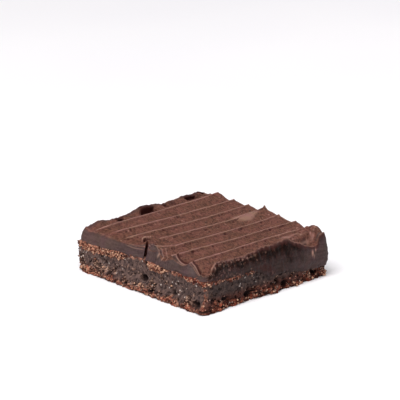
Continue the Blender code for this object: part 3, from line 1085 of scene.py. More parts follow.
        # The edges of the top are more ragged
        front = ease(-y, 36.5, 40.0) * ease(x, -33.0, -28.0)
        height += front * (0.7 * grain(x, 0.3 * y, 0.0, 2.9, 7.1) + 0.4 * grain(x, y, 0.0, 1.3, 5.5))
        height += 0.3 * ease(y, 36.0, 40.0) * grain(x, y, 0.0, 1.5, 3.8)
        knob = ease(x, 27.5, 30.5) * ease(-y, 28.0, 31.0)
        height += knob * (0.7 * grain(x, y, 0.0, 2.6, 4.8) + 0.35 * grain(x, y, 0.0, 1.2, 6.2))
        height -= self.arch_sunk * fade(self.from_arch(x, y), 0.8, 1.6)
        height += 0.35 * hump(line_distance(x, y, self.torn_ridge), 0.0, 0.5)
        return height - self.tear(x, y)

    def edge_direction(self, x: float, y: float) -> Vector:
        """The outward direction of the nearest cut face, blended round the corners.

        Args:
            x, y: the point of the top.

        Returns:
            A direction of length 1, or nothing far from all faces.
        """
        pull_x = ease(abs(x), self.plan.width / 2 - self.shoulder, self.plan.width / 2)
        pull_y = ease(abs(y), self.plan.length / 2 - self.shoulder, self.plan.length / 2)
        direction = Vector((math.copysign(pull_x, x), math.copysign(pull_y, y), 0.0))
        return direction.normalized() if direction.length > 0.0 else direction

    @staticmethod
    def inset(x: float, y: float, direction: Vector) -> float:
        """How far the top edge lies inside the cut face that faces a direction.

        Args:
            x, y: the point of the top.
            direction: the way that face looks.

        Returns:
            The distance.
        """
        left, front, _ = sides(direction)
        right, back = max(0.0, direction.x), max(0.0, direction.y)
        drawn_in = 2.2 * left + 0.2 * right + 1.2 * back
        drawn_in += (0.5 + 2.1 * fade(x, 10.0, 24.0)) * front
        ragged = 0.3 * grain(x, y, 0.0, 5.0, 6.1)
        ragged += 0.6 * front * grain(x, y, 0.0, 1.9, 2.9)
        return drawn_in + ragged

    def top_point(self, along: float, across: float) -> Vector:
        """The point of the top for a place of the blank, both from -0.5 to 0.5.

        Args:
            along: place along the blank, from -0.5 to 0.5.
            across: place across it, from -0.5 to 0.5.

        Returns:
            The point.
        """
        row, share = self.furrow(across)
        x, y = self.plan_place(along, across)
        height = self.main_height(x, y, row, share) + self.fine_height(x, y, row, share)
        point = Vector((x, y - self.burr_lean * self.burr(x, y, row, share), height))
        # The rim's curls hang forward over the hollows
        hollow = self.cave_depth(x)
        point.y -= self.curl_reach * hollow * self.wall(y, hollow) * fade(y, 39.8, 41.0)
        near_face = max(0.0, 1.0 - self.plan.from_face(x, y) / self.shoulder) ** 2
        direction = self.edge_direction(x, y)
        return point - direction * self.inset(x, y, direction) * near_face

    # -- the side

    @staticmethod
    def side_relief(x: float, y: float, z: float, direction: Vector) -> float:
        """How far the side stands out of the cut plane: swells, knife streaks and drag marks.

        Args:
            x, y, z: the point of the side.
            direction: the way its face looks.

        Returns:
            The distance.
        """
        swell = 1.5 * bump(x, y, 36.0, -41.0, 9.0, 12.0) * ease(z, 4.5, 10.0)
        relief = 0.3 + swell + 0.35 * grain(x, y, z, 8.0, 2.2) + 0.2 * grain(x, y, z, 3.5, 8.4)
        left, front, rest = sides(direction)
        drawn_up = left * ease(-y, 4.0, 6.0) * ease(y, -22.0, -17.0)
        relief += 0.12 * left * (1.0 - drawn_up) * grain(0.0, y / 9.0, z / 0.8, 1.0, 3.6)
        relief += 0.3 * drawn_up * grain(0.0, y / 1.0, z / 6.0, 1.0, 9.9)
        relief += front * (0.3 * grain(x / 1.1, 0.0, z / 4.0, 1.0, 4.1) + 0.45 * grain(x, y, z, 2.0, 6.9))
        relief += 0.2 * front * grain(x, y, z, 0.9, 1.6)
        # The upper edge of the front broke off in soft lumps
        lip = front * ease(z, 15.5, 18.0) * fade(x, 22.0, 28.0)
        relief += lip * (0.9 * grain(x, 0.0, 1.3 * z, 2.3, 5.7) + 0.5 * grain(x, 0.0, z, 1.1, 8.9))
        return relief + 0.2 * rest * grain(x, y, z, 1.7, 7.3)

    def lip_bottom(self, x: float, y: float) -> float:
        """Height of the ragged lower edge of the icing."""
        ragged = 0.35 * grain(x, y, 0.0, 2.6, 1.1) + 0.25 * grain(x, y, 0.0, 1.2, 5.9)
        return self.plan.icing_bottom(x, y) + ragged * (1.0 + 1.2 * self.plan.smear(x, y))

    def side_point(self, along: float, across: float, share: float) -> Vector:
        """The point share of the way down the rounded side, from the top edge to the lip.

        Args:
            along: place along the blank, from -0.5 to 0.5.
            across: place across it, from -0.5 to 0.5.
            share: share of the way down.

        Returns:
            The point.
        """
        edge = self.top_point(along, across)
        x, y = self.plan_place(along, across)
        end = Vector((x, y, self.lip_bottom(x, y)))
        height = edge.z + (end.z - edge.z) * share**1.15
        direction = self.plan.outward(x, y)
        end += direction * self.side_relief(x, y, height, direction)
        point = edge.lerp(end, math.sin(share * math.pi / 2))
        point.z = height
        return point

    def plan_place(self, along: float, across: float) -> tuple[float, float]:
        """The plan's point for a place of the blank: on its rim, the outline's.

        Args:
            along: place along the blank, from -0.5 to 0.5.
            across: place across it, from -0.5 to 0.5.

        Returns:
            The point of the plan.
        """
        row, share = self.furrow(across)
        x = along * self.plan.width
        y = self.plan.crest_y(row, x) * (1.0 - share) + self.plan.crest_y(row + 1, x) * share
        return self.plan.rounded(x, y)

    def under_point(self, along: float, across: float, step: int) -> Vector:
        """A point of the hidden underside: behind the lip, at the cake's top, then further in.

        Args:
            along: place along the blank, from -0.5 to 0.5.
            across: place across it, from -0.5 to 0.5.
            step: 0, 1 or 2, from the lip inwards.

        Returns:
            The point.
        """
        x, y = self.plan_place(along, across)
        if step == 2:
            return self.plan.joint_point(x, y, self.plan.icing_joint)
        height = (self.lip_bottom(x, y) + 0.1, self.plan.cake_top(x, y) + 0.3)[step]
        return Vector((x, y, height)) - self.plan.outward(x, y) * self.lip_thickness

    # -- the piece

    def blank(self) -> bpy.types.Object:
        """A grid whose rim is extruded down ring by ring and closed underneath.

        Returns:
            The blank, a unit wide.
        """
        lines = self.furrow_lines * (len(self.plan.crests) - 1)
        bpy.ops.object.select_all(action="DESELECT")
        bpy.ops.mesh.primitive_grid_add(x_subdivisions=self.columns, y_subdivisions=lines, size=1.0)
        piece = name_new("combed_icing")
        open_edit(piece, "EDGE")
        bpy.ops.mesh.select_non_manifold(
            extend=False, use_wire=False, use_multi_face=False, use_non_contiguous=False, use_verts=False
        )
        for _ in range(self.rings + 3):
            bpy.ops.mesh.extrude_edges_move(TRANSFORM_OT_translate={"value": (0.0, 0.0, -RING_STEP)})
        bpy.ops.mesh.edge_face_add()
        close_edit()
        return piece

    def shape(self, piece: bpy.types.Object) -> None:
        """Moves every point of the blank to its place and stores the marks for the finish.

        Args:
            piece: the blank.
        """
        points = read_points(piece)
        marks = np.zeros((len(ICING_MARKS), len(points)))
        for i, (along, across, level) in enumerate(points.tolist()):
            ring = round(-level / RING_STEP)
            if ring == 0:
                point = self.top_point(along, across)
            elif ring <= self.rings:
                point = self.side_point(along, across, ring / self.rings)
            else:
                point = self.under_point(along, across, ring - self.rings - 1)
            points[i] = point
            marks[:, i] = self.marks_at(along, across, min(1.0, ring / self.rings))
        write_points(piece, points * METRES)
        for name, values in zip(ICING_MARKS, marks):
            write_mark(piece, name, values)

    @staticmethod
    def rim_dryness_and_highlight(x: float, y: float) -> float:
        """How dry and pale the top's edge is, with a painted highlight along it, in broken stretches.

        Args:
            x, y: the point of the top.

        Returns:
            A share from 0 to 1.
        """
        patchy = grain(x, y, 0.0, 4.5, 7.7) + 0.4 * grain(x, y, 0.0, 1.1, 3.9)
        soft = 0.8 * ease(-x, 34.0, 35.5) * ease(y, -3.0, 3.0)
        soft = max(soft, 0.5 * ease(-y, 38.0, 40.5) * ease(x, -30.0, -26.0))
        soft = max(soft, ease(-x, 33.0, 34.5) * ease(-y, 1.5, 2.5) * (1.0 - 0.5 * ease(-y, 13.0, 16.0)))
        return 0.6 * ease(patchy, -0.25, 0.35) * (1.0 - soft)

    def ridge_marks(self, x: float, y: float, row: int, share: float, rough: float) -> tuple[float, float]:
        """How the combed top is marked.

        Args:
            x, y: the point.
            row: the ridge before it.
            share: share of the way to the next one.
            rough: the fine roughness there.

        Returns:
            Shares of dried crest with painted highlight, and of moist speck with painted shadow line.
        """
        # Painted highlights along the top's edge, on the burrs, round the arch, on the torn ridge and on
        # streaks beside the crack
        crest = self.rim_dryness_and_highlight(x, y) * hump(self.plan.from_face(x, y), 0.0, 0.5)
        crest = max(crest, 0.95 * self.burr(x, y, row, share), 0.9 * ease(self.arch(x, y), 0.5, 0.9))
        crest = max(crest, 0.7 * hump(line_distance(x, y, self.torn_ridge), 0.0, 0.45))
        wavy = x - y + 0.4 * grain(x, y, 0.0, 3.0, 2.3)
        streaks = sum(hump(wavy, at, 0.3) for at in self.torn_streaks)
        crest = max(crest, 0.5 * min(1.0, streaks) * ease(-x, 27.5, 29.0))
        # Specks of the moist frosting show where the comb tore it, most of all before a ridge, and a thin
        # painted shadow lies just in front of each ridge
        ahead = (1.0 - share) * self.plan.gap(row, x)
        speck = grain(x, 0.7 * y, 0.0, 1.2, 4.6) + 0.35 * hump(ahead, 1.4, 0.9)
        speck = max(0.8 * ease(speck, 0.62, 0.8), 0.3 * hump(ahead, 0.95, 0.5) * ease(rough, -0.5, 0.3))
        return crest, speck

    def front_marks(self, x: float, y: float, rough: float) -> tuple[float, float, float]:
        """How the top is marked along its front edge and around the knob.

        Args:
            x, y: the point.
            rough: the fine roughness there.

        Returns:
            Shares of dried crest with painted highlight, torn frosting with painted shade, and cool dent
            painted dark as shade.
        """
        # The knob's lumps carry painted highlights and painted shade
        lumpy = bump(x, y, 32.5, -34.5, 4.5, 4.0)
        crest = 0.45 * ease(0.5 * lumpy - rough, 0.55, 0.85)
        torn = 0.6 * ease(0.6 * lumpy + rough, 0.6, 0.9)
        # Down the slope before the knob the frosting was drawn out in streaks
        slope = ease(x, 12.0, 18.0) * fade(x, 28.0, 31.0)
        slope *= ease(-y, 30.5, 32.5) * fade(-y, 39.8, 40.8)
        drawn_out = grain(x / 7.0, (y + 0.12 * x) / 0.95, 3.0, 1.0, 4.1)
        crest = max(crest, 0.45 * slope * ease(drawn_out, 0.1, 0.4))
        torn = max(torn, 0.5 * slope * ease(-drawn_out, 0.15, 0.45))
        # Its front edge carries a painted highlight, and the knob has cool smooth dents painted dark as
        # shade, with a painted highlight on a chip between them
        slope_edge = ease(x, 12.0, 15.0) * fade(x, 25.0, 27.0) * ease(-y, 38.0, 39.5)
        crest = max(crest, 0.6 * hump(self.plan.from_face(x, y), 0.2, 0.7) * slope_edge)
        crest = max(crest, 0.3 * ease(bump(x, y, 31.0, -37.2, 1.1, 0.9) + 0.4 * rough, 0.35, 0.6))
        shaded_dents = max(bump(x, y, 26.5, -36.8, 1.8, 1.1), bump(x, y, 32.5, -40.2, 1.8, 1.5))
        shaded_dents = 0.8 * ease(shaded_dents + 0.3 * rough, 0.3, 0.6)
        # The front edge is lumpy above the film that was dragged down, with painted highlights on the lumps
        # and painted shade between them
        lumpy_edge = hump(y, -40.8, 1.8) * ease(-x, 2.0, 10.0) * fade(-x, 31.0, 33.0)
        crest = max(crest, 0.5 * lumpy_edge * ease(rough, 0.1, 0.45))
        torn = max(torn, 0.6 * lumpy_edge * ease(-rough, 0.1, 0.4))
        return crest, torn, shaded_dents

    def left_marks(self, x: float, y: float) -> tuple[float, float, float]:
        """How the top is marked beside the crack and where the lowest ridges end.

        Args:
            x, y: the point.

        Returns:
            Shares of dried crest, cut face and moist hollow.
        """
        # The flanks of the crack are as cool and smooth as the cut faces
        beside = ease(-27.0 + 0.58 * (y - 1.0) + 0.5 * grain(x, y, 0.0, 2.0, 7.4) - x, -0.2, 1.0)
        cut = 0.9 * beside * ease(-y, -1.5, 0.0) * fade(-y, 12.0, 14.0)
        # So is the strip beyond the torn edge, which shows as a dark line beside a pale one
        beyond = float(np.interp(-y, self.torn_edge_y, self.torn_edge_x)) - x
        torn_off = ease(-y, 13.8, 15.5) * fade(-y, 37.0, 38.5)
        cut = max(cut, 0.75 * torn_off * ease(beyond, 0.2, 1.2))
        moist_and_shade = torn_off * min(1.0, 1.6 * hump(beyond, -0.1, 0.7))
        crest = 0.6 * torn_off * hump(beyond, 1.2, 0.45)
        # Behind the crack the cut reaches up over the edge, with two pale lines along its border
        border = -32.4 - 0.36 * max(0.0, y - 1.5) + 0.5 * grain(x, y, 0.0, 3.0, 6.1) - x
        behind = ease(y, -3.0, -1.5) * fade(y, 10.0, 12.0)
        cut = max(cut, 0.9 * behind * ease(border, 0.0, 1.2))
        lines = hump(border, 0.3, 0.35) + 0.8 * hump(border, 1.9, 0.35)
        return max(crest, 0.35 * behind * min(1.0, lines)), cut, moist_and_shade

    def marks_at(self, along: float, across: float, down: float) -> tuple[float, ...]:
        """How much of each special finish a point has.

        Args:
            along: place along the blank.
            across: place across it.
            down: share of the way down the side, 0 on the top.

        Returns:
            Shares of dried crest with painted highlight, cut face with painted shade in dents and curls,
            wiped patch, moist frosting with painted shade, dragged front darkened as painted shade, and
            drawn-up side.
        """
        row, share = self.furrow(across)
        x, y = self.plan_place(along, across)
        if down > 0.0:
            return self.side_marks(x, y, down)
        rough = 0.5 * grain(x, y, 0.0, 1.5, 3.1) + 0.9 * grain(x, y, 0.0, 0.8, 5.3)
        ridge_crest, speck = self.ridge_marks(x, y, row, share, rough)
        front_crest, torn, shaded_dents = self.front_marks(x, y, rough)
        left_crest, left_cut, left_moist_and_shade = self.left_marks(x, y)
        blurred = 1.0 - math.hypot((x - 24.0) / 7.4, (y + 1.4) / 5.2) + 0.25 * grain(x, y, 0.0, 3.5, 2.9)
        # The shelf at the foot of the front slope was smoothed as the wiped patch was
        wiped = max(0.85 * ease(blurred, -0.05, 0.3), 0.12 * bump(x, y, 25.5, -39.0, 4.0, 2.6))
        # Tears and the hollows under the rim are painted dark as shade, and torn frosting and specks take
        # the moist colour
        moist_and_shade = min(1.0, 2.6 * self.tear(x, y) + 1.2 * self.cave_shade(x, y) + torn + speck)
        # The hollow inside the arch is painted dark as shade
        moist_and_shade = max(moist_and_shade, 0.95 * fade(self.from_arch(x, y), 1.5, 2.0))
        # The rim's curls are cool and smooth too, and painted darker as shade where they lean forward
        shaded_curl = 0.65 * ease(y, 37.6, 39.0) * (1.0 - min(1.0, moist_and_shade))
        crest = max(ridge_crest, front_crest, left_crest)
        return crest, max(shaded_dents, shaded_curl, left_cut), wiped, max(moist_and_shade, left_moist_and_shade), 0.0, 0.0

    def side_marks(self, x: float, y: float, down: float) -> tuple[float, ...]:
        """The same shares for a point of the side, down from its top edge.

        Args:
            x, y: the point of the outline.
            down: share of the way down the side.

        Returns:
            The six shares, in the same order.
        """
        left, front, _ = sides(self.plan.outward(x, y))
        front **= 2
        ragged = 0.06 * grain(x, y, 9.0 * down, 1.6, 3.2)
        # The top edge down the side carries a painted highlight where it is dry and pale
        rim = self.rim_dryness_and_highlight(x, y) * fade(down, 0.02, 0.08)
        drawn = left * ease(-y, 4.0, 6.0) * ease(y, -22.0, -17.0)
        # The top's own brown hangs over the left face in one place, with pale streaks down it, painted
        # highlights
        hanging = left * ease(-y, 9.5, 12.0) * ease(y, -19.0, -17.0)
        wavy = y + 0.5 * grain(0.0, 0.0, 3.0 * down, 1.0)
        streaks = sum(hump(wavy, at, 0.3) for at in self.streak_places)
        rim = max(rim, 0.45 * left * min(1.0, streaks) * fade(down, 0.25, 0.5))
        # Further back the top rounds off softly into the cut, with a pale line below
        soft = left * ease(y, 8.0, 12.0)
        line = hump(down, 0.3 - 0.01 * y, 0.04) * left * ease(y, -2.0, 1.0) * fade(y, 8.0, 13.0)
        rim = max(rim, 0.3 * line)
        cut = ease(down + ragged, 0.25 * hanging, 0.12 + 0.3 * hanging + 0.12 * soft)
        # On the knob's front a few chipped edges carry painted highlights
        slanted = x + 1.5 * down
        chipped = hump(slanted, 27.6, 0.3) * hump(down, 0.34, 0.11)
        chipped += 0.8 * hump(slanted, 29.3, 0.3) * hump(down, 0.2, 0.09)
        chipped += 0.6 * hump(slanted, 28.5, 0.25) * hump(down, 0.5, 0.08)
        rim = max(rim, front * chipped)
        # A dark red band just under the front edge, and one under the slope, are painted shade
        red = 0.7 * front * hump(down + 1.4 * ragged, 0.12, 0.06)
        red = max(red, 0.7 * front * bump(x, down, 22.5, 0.1, 4.5, 0.07))
        # The film on the front is dark above, as painted shade on the face turned from the light, thinner
        # and greyer below, and redder in one place
        patchy = grain(x, 0.0, 9.0 * down, 5.0, 8.2) + 0.5 * grain(x, 0.0, 9.0 * down, 1.7, 4.3)
        dragged = 1.0 - 0.45 * ease(down + 0.3 * patchy, 0.4, 0.7)
        dragged *= front * ease(down + 1.4 * ragged, 0.05, 0.22) * (1.0 - 0.75 * ease(x, 19.5, 24.5))
        dragged *= 1.0 - 0.4 * ease(x, 12.0, 17.0) * ease(down, 0.2, 0.45)
        red = max(red, 0.45 * front * ease(bump(x, down, -2.0, 0.78, 7.0, 0.16) + 0.6 * patchy, 0.5, 0.9))
        specks = ease(grain(x, 0.0, 9.0 * down, 0.9, 6.6) - 0.2 * ease(x, -18.0, -10.0), 0.32, 0.5)
        rim = max(rim, 0.22 * front * specks * fade(x, 2.0, 8.0))
        # Above the film the edge is lumpy, with painted highlights on its bits and painted shade between
        # them
        bits = 0.5 * grain(x, 0.0, 9.0 * down, 1.5, 3.1) + 0.9 * grain(x, 0.0, 9.0 * down, 0.8, 5.3)
        lumpy_edge = front * fade(down, 0.2, 0.32) * ease(-x, 2.0, 10.0)
        rim = max(rim, 0.5 * lumpy_edge * ease(bits, 0.05, 0.4))
        red = max(red, 0.6 * lumpy_edge * ease(-bits, 0.05, 0.35))
        return rim, cut, 0.1 * left * ease(y, 10.0, 28.0), red, dragged, drawn

    def cutter(self) -> bpy.types.Object:
        """A ragged wedge for the crack that runs in from the left face.

        Returns:
            The wedge.
        """
        bpy.ops.object.select_all(action="DESELECT")
        bpy.ops.mesh.primitive_cube_add(size=1.0)
        piece = name_new("crack_cutter")
        open_edit(piece, "FACE", "SELECT")
        bpy.ops.mesh.subdivide(number_cuts=9)
        close_edit()
        mouth, end = Vector((*self.crack_mouth, 0.0)), Vector((*self.crack_end, 0.0))
        across = Matrix.Rotation(math.pi / 2, 3, "Z") @ (end - mouth).normalized()
        points = read_points(piece)
        for i, (run, side, level) in enumerate((points + 0.5).tolist()):
            floor = self.crack_floor[0] + (self.crack_floor[1] - self.crack_floor[0]) * run
            height = floor + (self.crack_top - floor) * level
            wide = (self.crack_narrow + self.crack_widening * level**0.6) * (1.0 - 0.35 * run**3)
            point = mouth.lerp(end, run)
            point.y += self.crack_lean * max(0.0, self.crack_lean_below - height)
            ragged = 0.5 * grain(point.x, point.y, height, 3.2, 4.9)
            point += across * ((side - 0.5) * wide + ragged)
            point += across * (side - 0.5) * 0.5 * grain(point.x, point.y, height, 1.5, 2.2 + side)
            points[i] = (point.x, point.y, height)
        write_points(piece, points * METRES)
        face_outwards(piece)
        return piece

    def crack(self, piece: bpy.types.Object) -> None:
        """Cuts the crack, then gives the new points the marks of their neighbours.

        Args:
            piece: the shaped frosting.
        """
        before = read_points(piece)
        kept = {name: read_mark(piece, name) for name in ICING_MARKS}
        tree = KDTree(len(before))
        for i, point in enumerate(before):
            tree.insert(point, i)
        tree.balance()
        cutter = self.cutter()
        cut = piece.modifiers.new("crack", "BOOLEAN")
        cut.operation = "DIFFERENCE"
        cut.solver = "MANIFOLD"
        cut.object = cutter
        pick(piece)
        bpy.ops.object.modifier_apply(modifier=cut.name)
        bpy.data.objects.remove(cutter)
        after = read_points(piece)
        found = [tree.find(point) for point in after]
        nearest = np.array([index for _, index, _ in found])
        # Points far from any old one stand on the walls of the crack, which are painted dark as shade
        crack_shade = np.array([ease(distance / METRES, 0.25, 0.9) for _, _, distance in found])
        for name in ICING_MARKS:
            old = piece.data.attributes.get(name)
            if old:
                piece.data.attributes.remove(old)
            values = kept[name][nearest]
            if name == "moist_and_shade":
                values = np.maximum(values, crack_shade)
            write_mark(piece, name, values)

    def build(self) -> bpy.types.Object:
        """The finished and dressed frosting.

        Returns:
            The piece.
        """
        piece = self.blank()
        self.shape(piece)
        self.crack(piece)
        keep_inside(piece, "icing")
        dress(piece, self.finish.material())
        return piece


# ---------------------------------------------------------------- cake


@dataclass(frozen=True)
class Pit:
    """An open pit in the crumb of one face."""

    face: Face
    place: float
    height: float
    half_wide: float
    half_high: float
    depth: float


# What the crumb's points are marked with: crust, painted shade in open pits and pores, torn crumb
# in place of pressed crumb, the film of frosting on the front face, which also darkens it as
# painted shade, and the scorched foot, redder and darker partly as painted shade
CAKE_MARKS = ("crust", "pit", "torn", "smeared_and_shade", "scorched_and_shade")


@dataclass
class Cake:
    """The dense crumb with its two crusts."""

    plan: Plan
    finish: BakedCrumb
    stations: int = 1040
    rings: int = 50
    base_edge: float = 0.35  # how far the underside's edge lies inside the side above it
    crack_depth: float = 3.2  # of the notch that the icing's crack leaves in the cake
    pits: tuple[Pit, ...] = (
        Pit(Face.LEFT, -1.9, 6.1, 2.1, 1.6, 2.2), Pit(Face.LEFT, 23.6, 7.0, 2.3, 1.0, 1.3),
        Pit(Face.LEFT, -8.2, 2.2, 2.4, 1.2, 1.8), Pit(Face.LEFT, -36.8, 3.4, 2.2, 1.4, 2.0),
        Pit(Face.LEFT, -21.9, 4.6, 1.9, 1.1, 1.5), Pit(Face.LEFT, 8.0, 1.7, 2.0, 1.2, 1.4),
        Pit(Face.LEFT, 31.0, 2.2, 2.0, 1.1, 1.3), Pit(Face.FRONT, -25.0, 4.0, 3.0, 1.6, 1.5),
        Pit(Face.FRONT, -11.5, 3.2, 3.0, 1.9, 1.8), Pit(Face.FRONT, 5.4, 4.8, 1.6, 2.0, 1.7),
        Pit(Face.FRONT, 10.5, 2.6, 2.4, 1.6, 2.0), Pit(Face.FRONT, 28.5, 3.6, 3.0, 1.7, 1.8),
        Pit(Face.RIGHT, -24.0, 5.0, 2.6, 1.5, 1.8), Pit(Face.RIGHT, -3.0, 8.0, 2.0, 1.4, 1.5),
        Pit(Face.RIGHT, 16.0, 3.4, 2.8, 1.4, 1.8), Pit(Face.RIGHT, 31.0, 7.0, 2.0, 1.3, 1.4),
        Pit(Face.BACK, -25.0, 6.5, 2.4, 1.5, 1.6), Pit(Face.BACK, -6.0, 3.0, 2.8, 1.4, 1.8),
        Pit(Face.BACK, 12.0, 7.5, 2.0, 1.6, 1.5), Pit(Face.BACK, 27.0, 3.6, 2.6, 1.4, 1.7),
    )
    # Strength of the upper crust along the left face, by Y from the front to the back
    left_crust: tuple[tuple[float, float], ...] = (
        (-41.0, 0.95), (-36.0, 0.6), (-33.0, 0.55), (-28.0, 0.6), (-24.0, 0.2), (-16.0, 0.2),
        (-14.0, 0.9), (-5.5, 0.95), (-2.0, 0.15), (9.0, 0.15), (12.0, 1.0), (35.0, 1.0), (41.0, 0.6),
    )

    def pit_depth(self, x: float, y: float, z: float, direction: Vector) -> float:
        """How deep the pits are cut at a point of the side.

        Args:
            x, y, z: the point of the side.
            direction: the way its face looks.

        Returns:
            The depth.
        """
        total = 0.0
        for pit in self.pits:
            normal_x, normal_y = pit.face.value
            if direction.x * normal_x + direction.y * normal_y > 0.6:
                along = y if normal_x else x
                total += pit.depth * bump(along, z, pit.place, pit.height, pit.half_wide, pit.half_high)
        return total

    @staticmethod
    def foot_spread(x: float, y: float, direction: Vector) -> float:
        """How far the lower crust spreads at the foot of the side: most on the left face.

        Args:
            x, y: the point of the outline.
            direction: the way its face looks.

        Returns:
            The distance.
        """
        front = 1.6 - 1.1 * ease(x, -31.0, -24.0) - 0.5 * ease(x, -14.0, -9.0)
        front += 1.1 * hump(x, 4.5, 3.0) - 0.6 * ease(x, 14.0, 22.0)
        to_left, to_front, to_rest = sides(direction)
        spread = 3.0 * to_left + front * to_front + 0.9 * to_rest
        return spread - 2.4 * bump(x, y, -36.0, 41.0, 3.5, 5.0) - 0.8 * bump(x, y, 36.0, -41.0, 4.0, 4.0)

    def main_relief(self, x: float, y: float, z: float, direction: Vector) -> float:
        """How far the side stands out of the cut plane without its pits, as in the CAD.

        Args:
            x, y, z: the point of the side.
            direction: the way its face looks.

        Returns:
            The distance.
        """
        foot = self.foot_spread(x, y, direction) * fade(z, 0.9, 7.0)
        # The left back corner bulges half-way up
        full = 1.2 * bump(x, y, -36.0, 41.0, 5.0, 8.0) * ease(z, 2.0, 5.0)
        full *= 1.0 - 0.6 * ease(z, 8.0, 12.0)
        crumbs = 0.55 * grain(x, y, z, 7.0) + 0.5 * grain(x, y, z, 3.2, 7.7)
        return foot + full - 0.3 * hump(z, 7.5, 3.5) + 0.35 + crumbs

    def crust(self, x: float, y: float, z: float, direction: Vector) -> float:
        """Share of crust at a point of the side: bands along the top and the bottom, ragged.

        Args:
            x, y, z: the point of the side.
            direction: the way its face looks.

        Returns:
            A share from 0 to 1.
        """
        left, front, _ = sides(direction)
        below = self.plan.cake_top(x, y) - self.plan.lip_lap - z
        if direction.x < -0.7:
            strength = float(np.interp(y, *zip(*self.left_crust)))
        else:
            strength = 0.4 + 0.5 * grain(x, y, 0.0, 6.0, 2.4)
        ragged = grain(x, y, z, 1.9, 3.9) + 0.6 * grain(x, y, z, 0.9, 7.4)
        ragged *= 1.0 + 0.8 * front
        patchy = 0.35 + 0.8 * strength + 0.35 * grain(x, y, 0.0, 3.1, 6.5)
        upper = ease(0.9 + 2.2 * strength + 1.1 * ragged - below, 0.0, 0.5) * min(1.0, patchy)
        broken = 0.5 + 0.5 * ease(grain(x, y, 0.0, 4.0, 9.8), -0.25, 0.1)
        lower = ease(2.9 - z + 1.3 * ragged + 1.1 * grain(x, y, 0.0, 6.0, 1.7), 0.0, 0.7) * broken
        corner = left * ease(-y, 39.2, 40.4) * ease(0.4 + ragged, 0.0, 0.6)
        return max(upper, lower * (1.0 - 0.3 * front), 0.9 * corner)

    @staticmethod
    def torn(x: float, y: float, z: float) -> float:
        """Share of torn crumb: low down, and in patches above, where the knife pulled grains out."""
        low = 0.1 * (4.5 - z)
        return ease(grain(x, y, z, 4.2, 3.7) + 0.5 * grain(x, y, z, 1.4, 8.1) + low, 0.0, 0.2)

    def fine_relief(self, x: float, y: float, z: float, crust: float, torn: float) -> tuple[float, float]:
        """What grains and pores add to the side.

        Args:
            x, y, z: the point.
            crust: share of crust there, which is rougher.
            torn: share of torn crumb there.

        Returns:
            How far the side stands out by them, and the share of open pore.
        """
        near, far = noise.voronoi(Vector((x, y, z)) / 1.25)[0][:2]
        rise = (0.05 + 0.16 * torn) * (min(1.0, (far - near) / 0.3) - 0.6)
        rise += (0.08 + 0.25 * torn) * grain(x, y, z, 1.5, 5.2) + 0.15 * torn * grain(x, y, z, 0.7, 3.9)
        rise += crust * (0.1 + 0.4 * grain(x, y, z, 1.3, 9.4) + 0.3 * grain(x, y, z, 0.7, 2.8))
        low = 0.14 * fade(z, 3.0, 8.0) + 0.22 * torn - 0.16
        pore = ease(grain(x, y, z, 1.9, 12.9) + 0.4 * grain(x, y, z, 0.8, 1.4) + low, 0.34, 0.48)
        fine = ease(grain(x, y, z, 1.05, 7.2) + 0.2 * torn + 0.5 * low, 0.32, 0.46)
        # The lower crust is broken by gaps a few millimetres long
        gap = ease(grain(x, y, 1.6 * z, 2.7, 4.7), 0.16, 0.32) * ease(z, 0.3, 0.9) * fade(z, 2.6, 4.2)
        # A recessed band along the very foot is painted dark as contact shadow
        foot = ease(grain(x, y, 0.0, 3.3, 5.5), -0.1, 0.15) * fade(z, 0.45, 1.0)
        pore = max(pore * (1.0 - 0.4 * crust), 0.7 * fine * (1.0 - 0.7 * crust), 0.9 * gap, 0.8 * foot)
        return rise - 1.1 * pore, pore

    def side_point(self, way: float, height: float, slack: float) -> tuple[Vector, tuple[float, ...]]:
        """A point of the side with its marks.

        Args:
            way: distance along the outline.
            height: the point's height.
            slack: how far it is moved inwards.

        Returns:
            The point and its shares of crust, painted pit shade, torn crumb, smeared frosting with painted
            shade and scorched foot with painted shade.
        """
        x, y = self.plan.outline(way)
        direction = self.plan.outward(x, y)
        left, front, _ = sides(direction)
        crust = self.crust(x, y, height, direction)
        pits = self.pit_depth(x, y, height, direction)
        torn = self.torn(x, y, height)
        rise, pore = self.fine_relief(x, y, height, crust, torn)
        sharp = pits * (0.7 + 0.5 * ease(pits + 0.8 * grain(x, y, height, 1.3, 6.3), 0.5, 1.2))
        relief = self.main_relief(x, y, height, direction) + rise - sharp - slack
        crack = self.crack_depth * left * bump(y, height, -3.7, 14.6, 0.7, 2.6)
        point = Vector((x, y, height)) + direction * (relief - crack)
        # Pits, pores and the crack's notch are painted dark as shade
        pit_shade = max(ease(sharp, 0.5, 1.6), 0.75 * pore, ease(crack, 0.3, 0.9))
        # The frosting film darkens the front face and the front of the left face as painted shade
        smeared_and_shade = front**2 * (0.25 + 0.75 * ease(height, 4.0, 7.0))
        smeared_and_shade = max(smeared_and_shade, 0.4 * left * ease(-y, -5.0, 30.0))
        # The foot is redder and darker partly as painted shade, most of all on the front
        scorched_and_shade = fade(height, 2.5 + 1.5 * front, 5.0 + 3.2 * front) * (0.3 + 0.7 * front)
        scorched_and_shade = max(scorched_and_shade, 0.8 * crust * ease(-y, 8.0, 30.0))
        return point, (crust * (1.0 - 0.6 * pit_shade), pit_shade, torn, smeared_and_shade, scorched_and_shade)

    def blank(self) -> bpy.types.Object:
        """A disc that is extruded upwards ring by ring.

        Returns:
            The blank, two units wide.
        """
        bpy.ops.object.select_all(action="DESELECT")
        bpy.ops.mesh.primitive_circle_add(vertices=self.stations, radius=1.0, fill_type="NGON")
        piece = name_new("cake_crumb")
        open_edit(piece, "FACE", "SELECT")
        for _ in range(self.rings + 3):
            bpy.ops.mesh.extrude_region_move(TRANSFORM_OT_translate={"value": (0.0, 0.0, RING_STEP)})
        close_edit()
        return piece

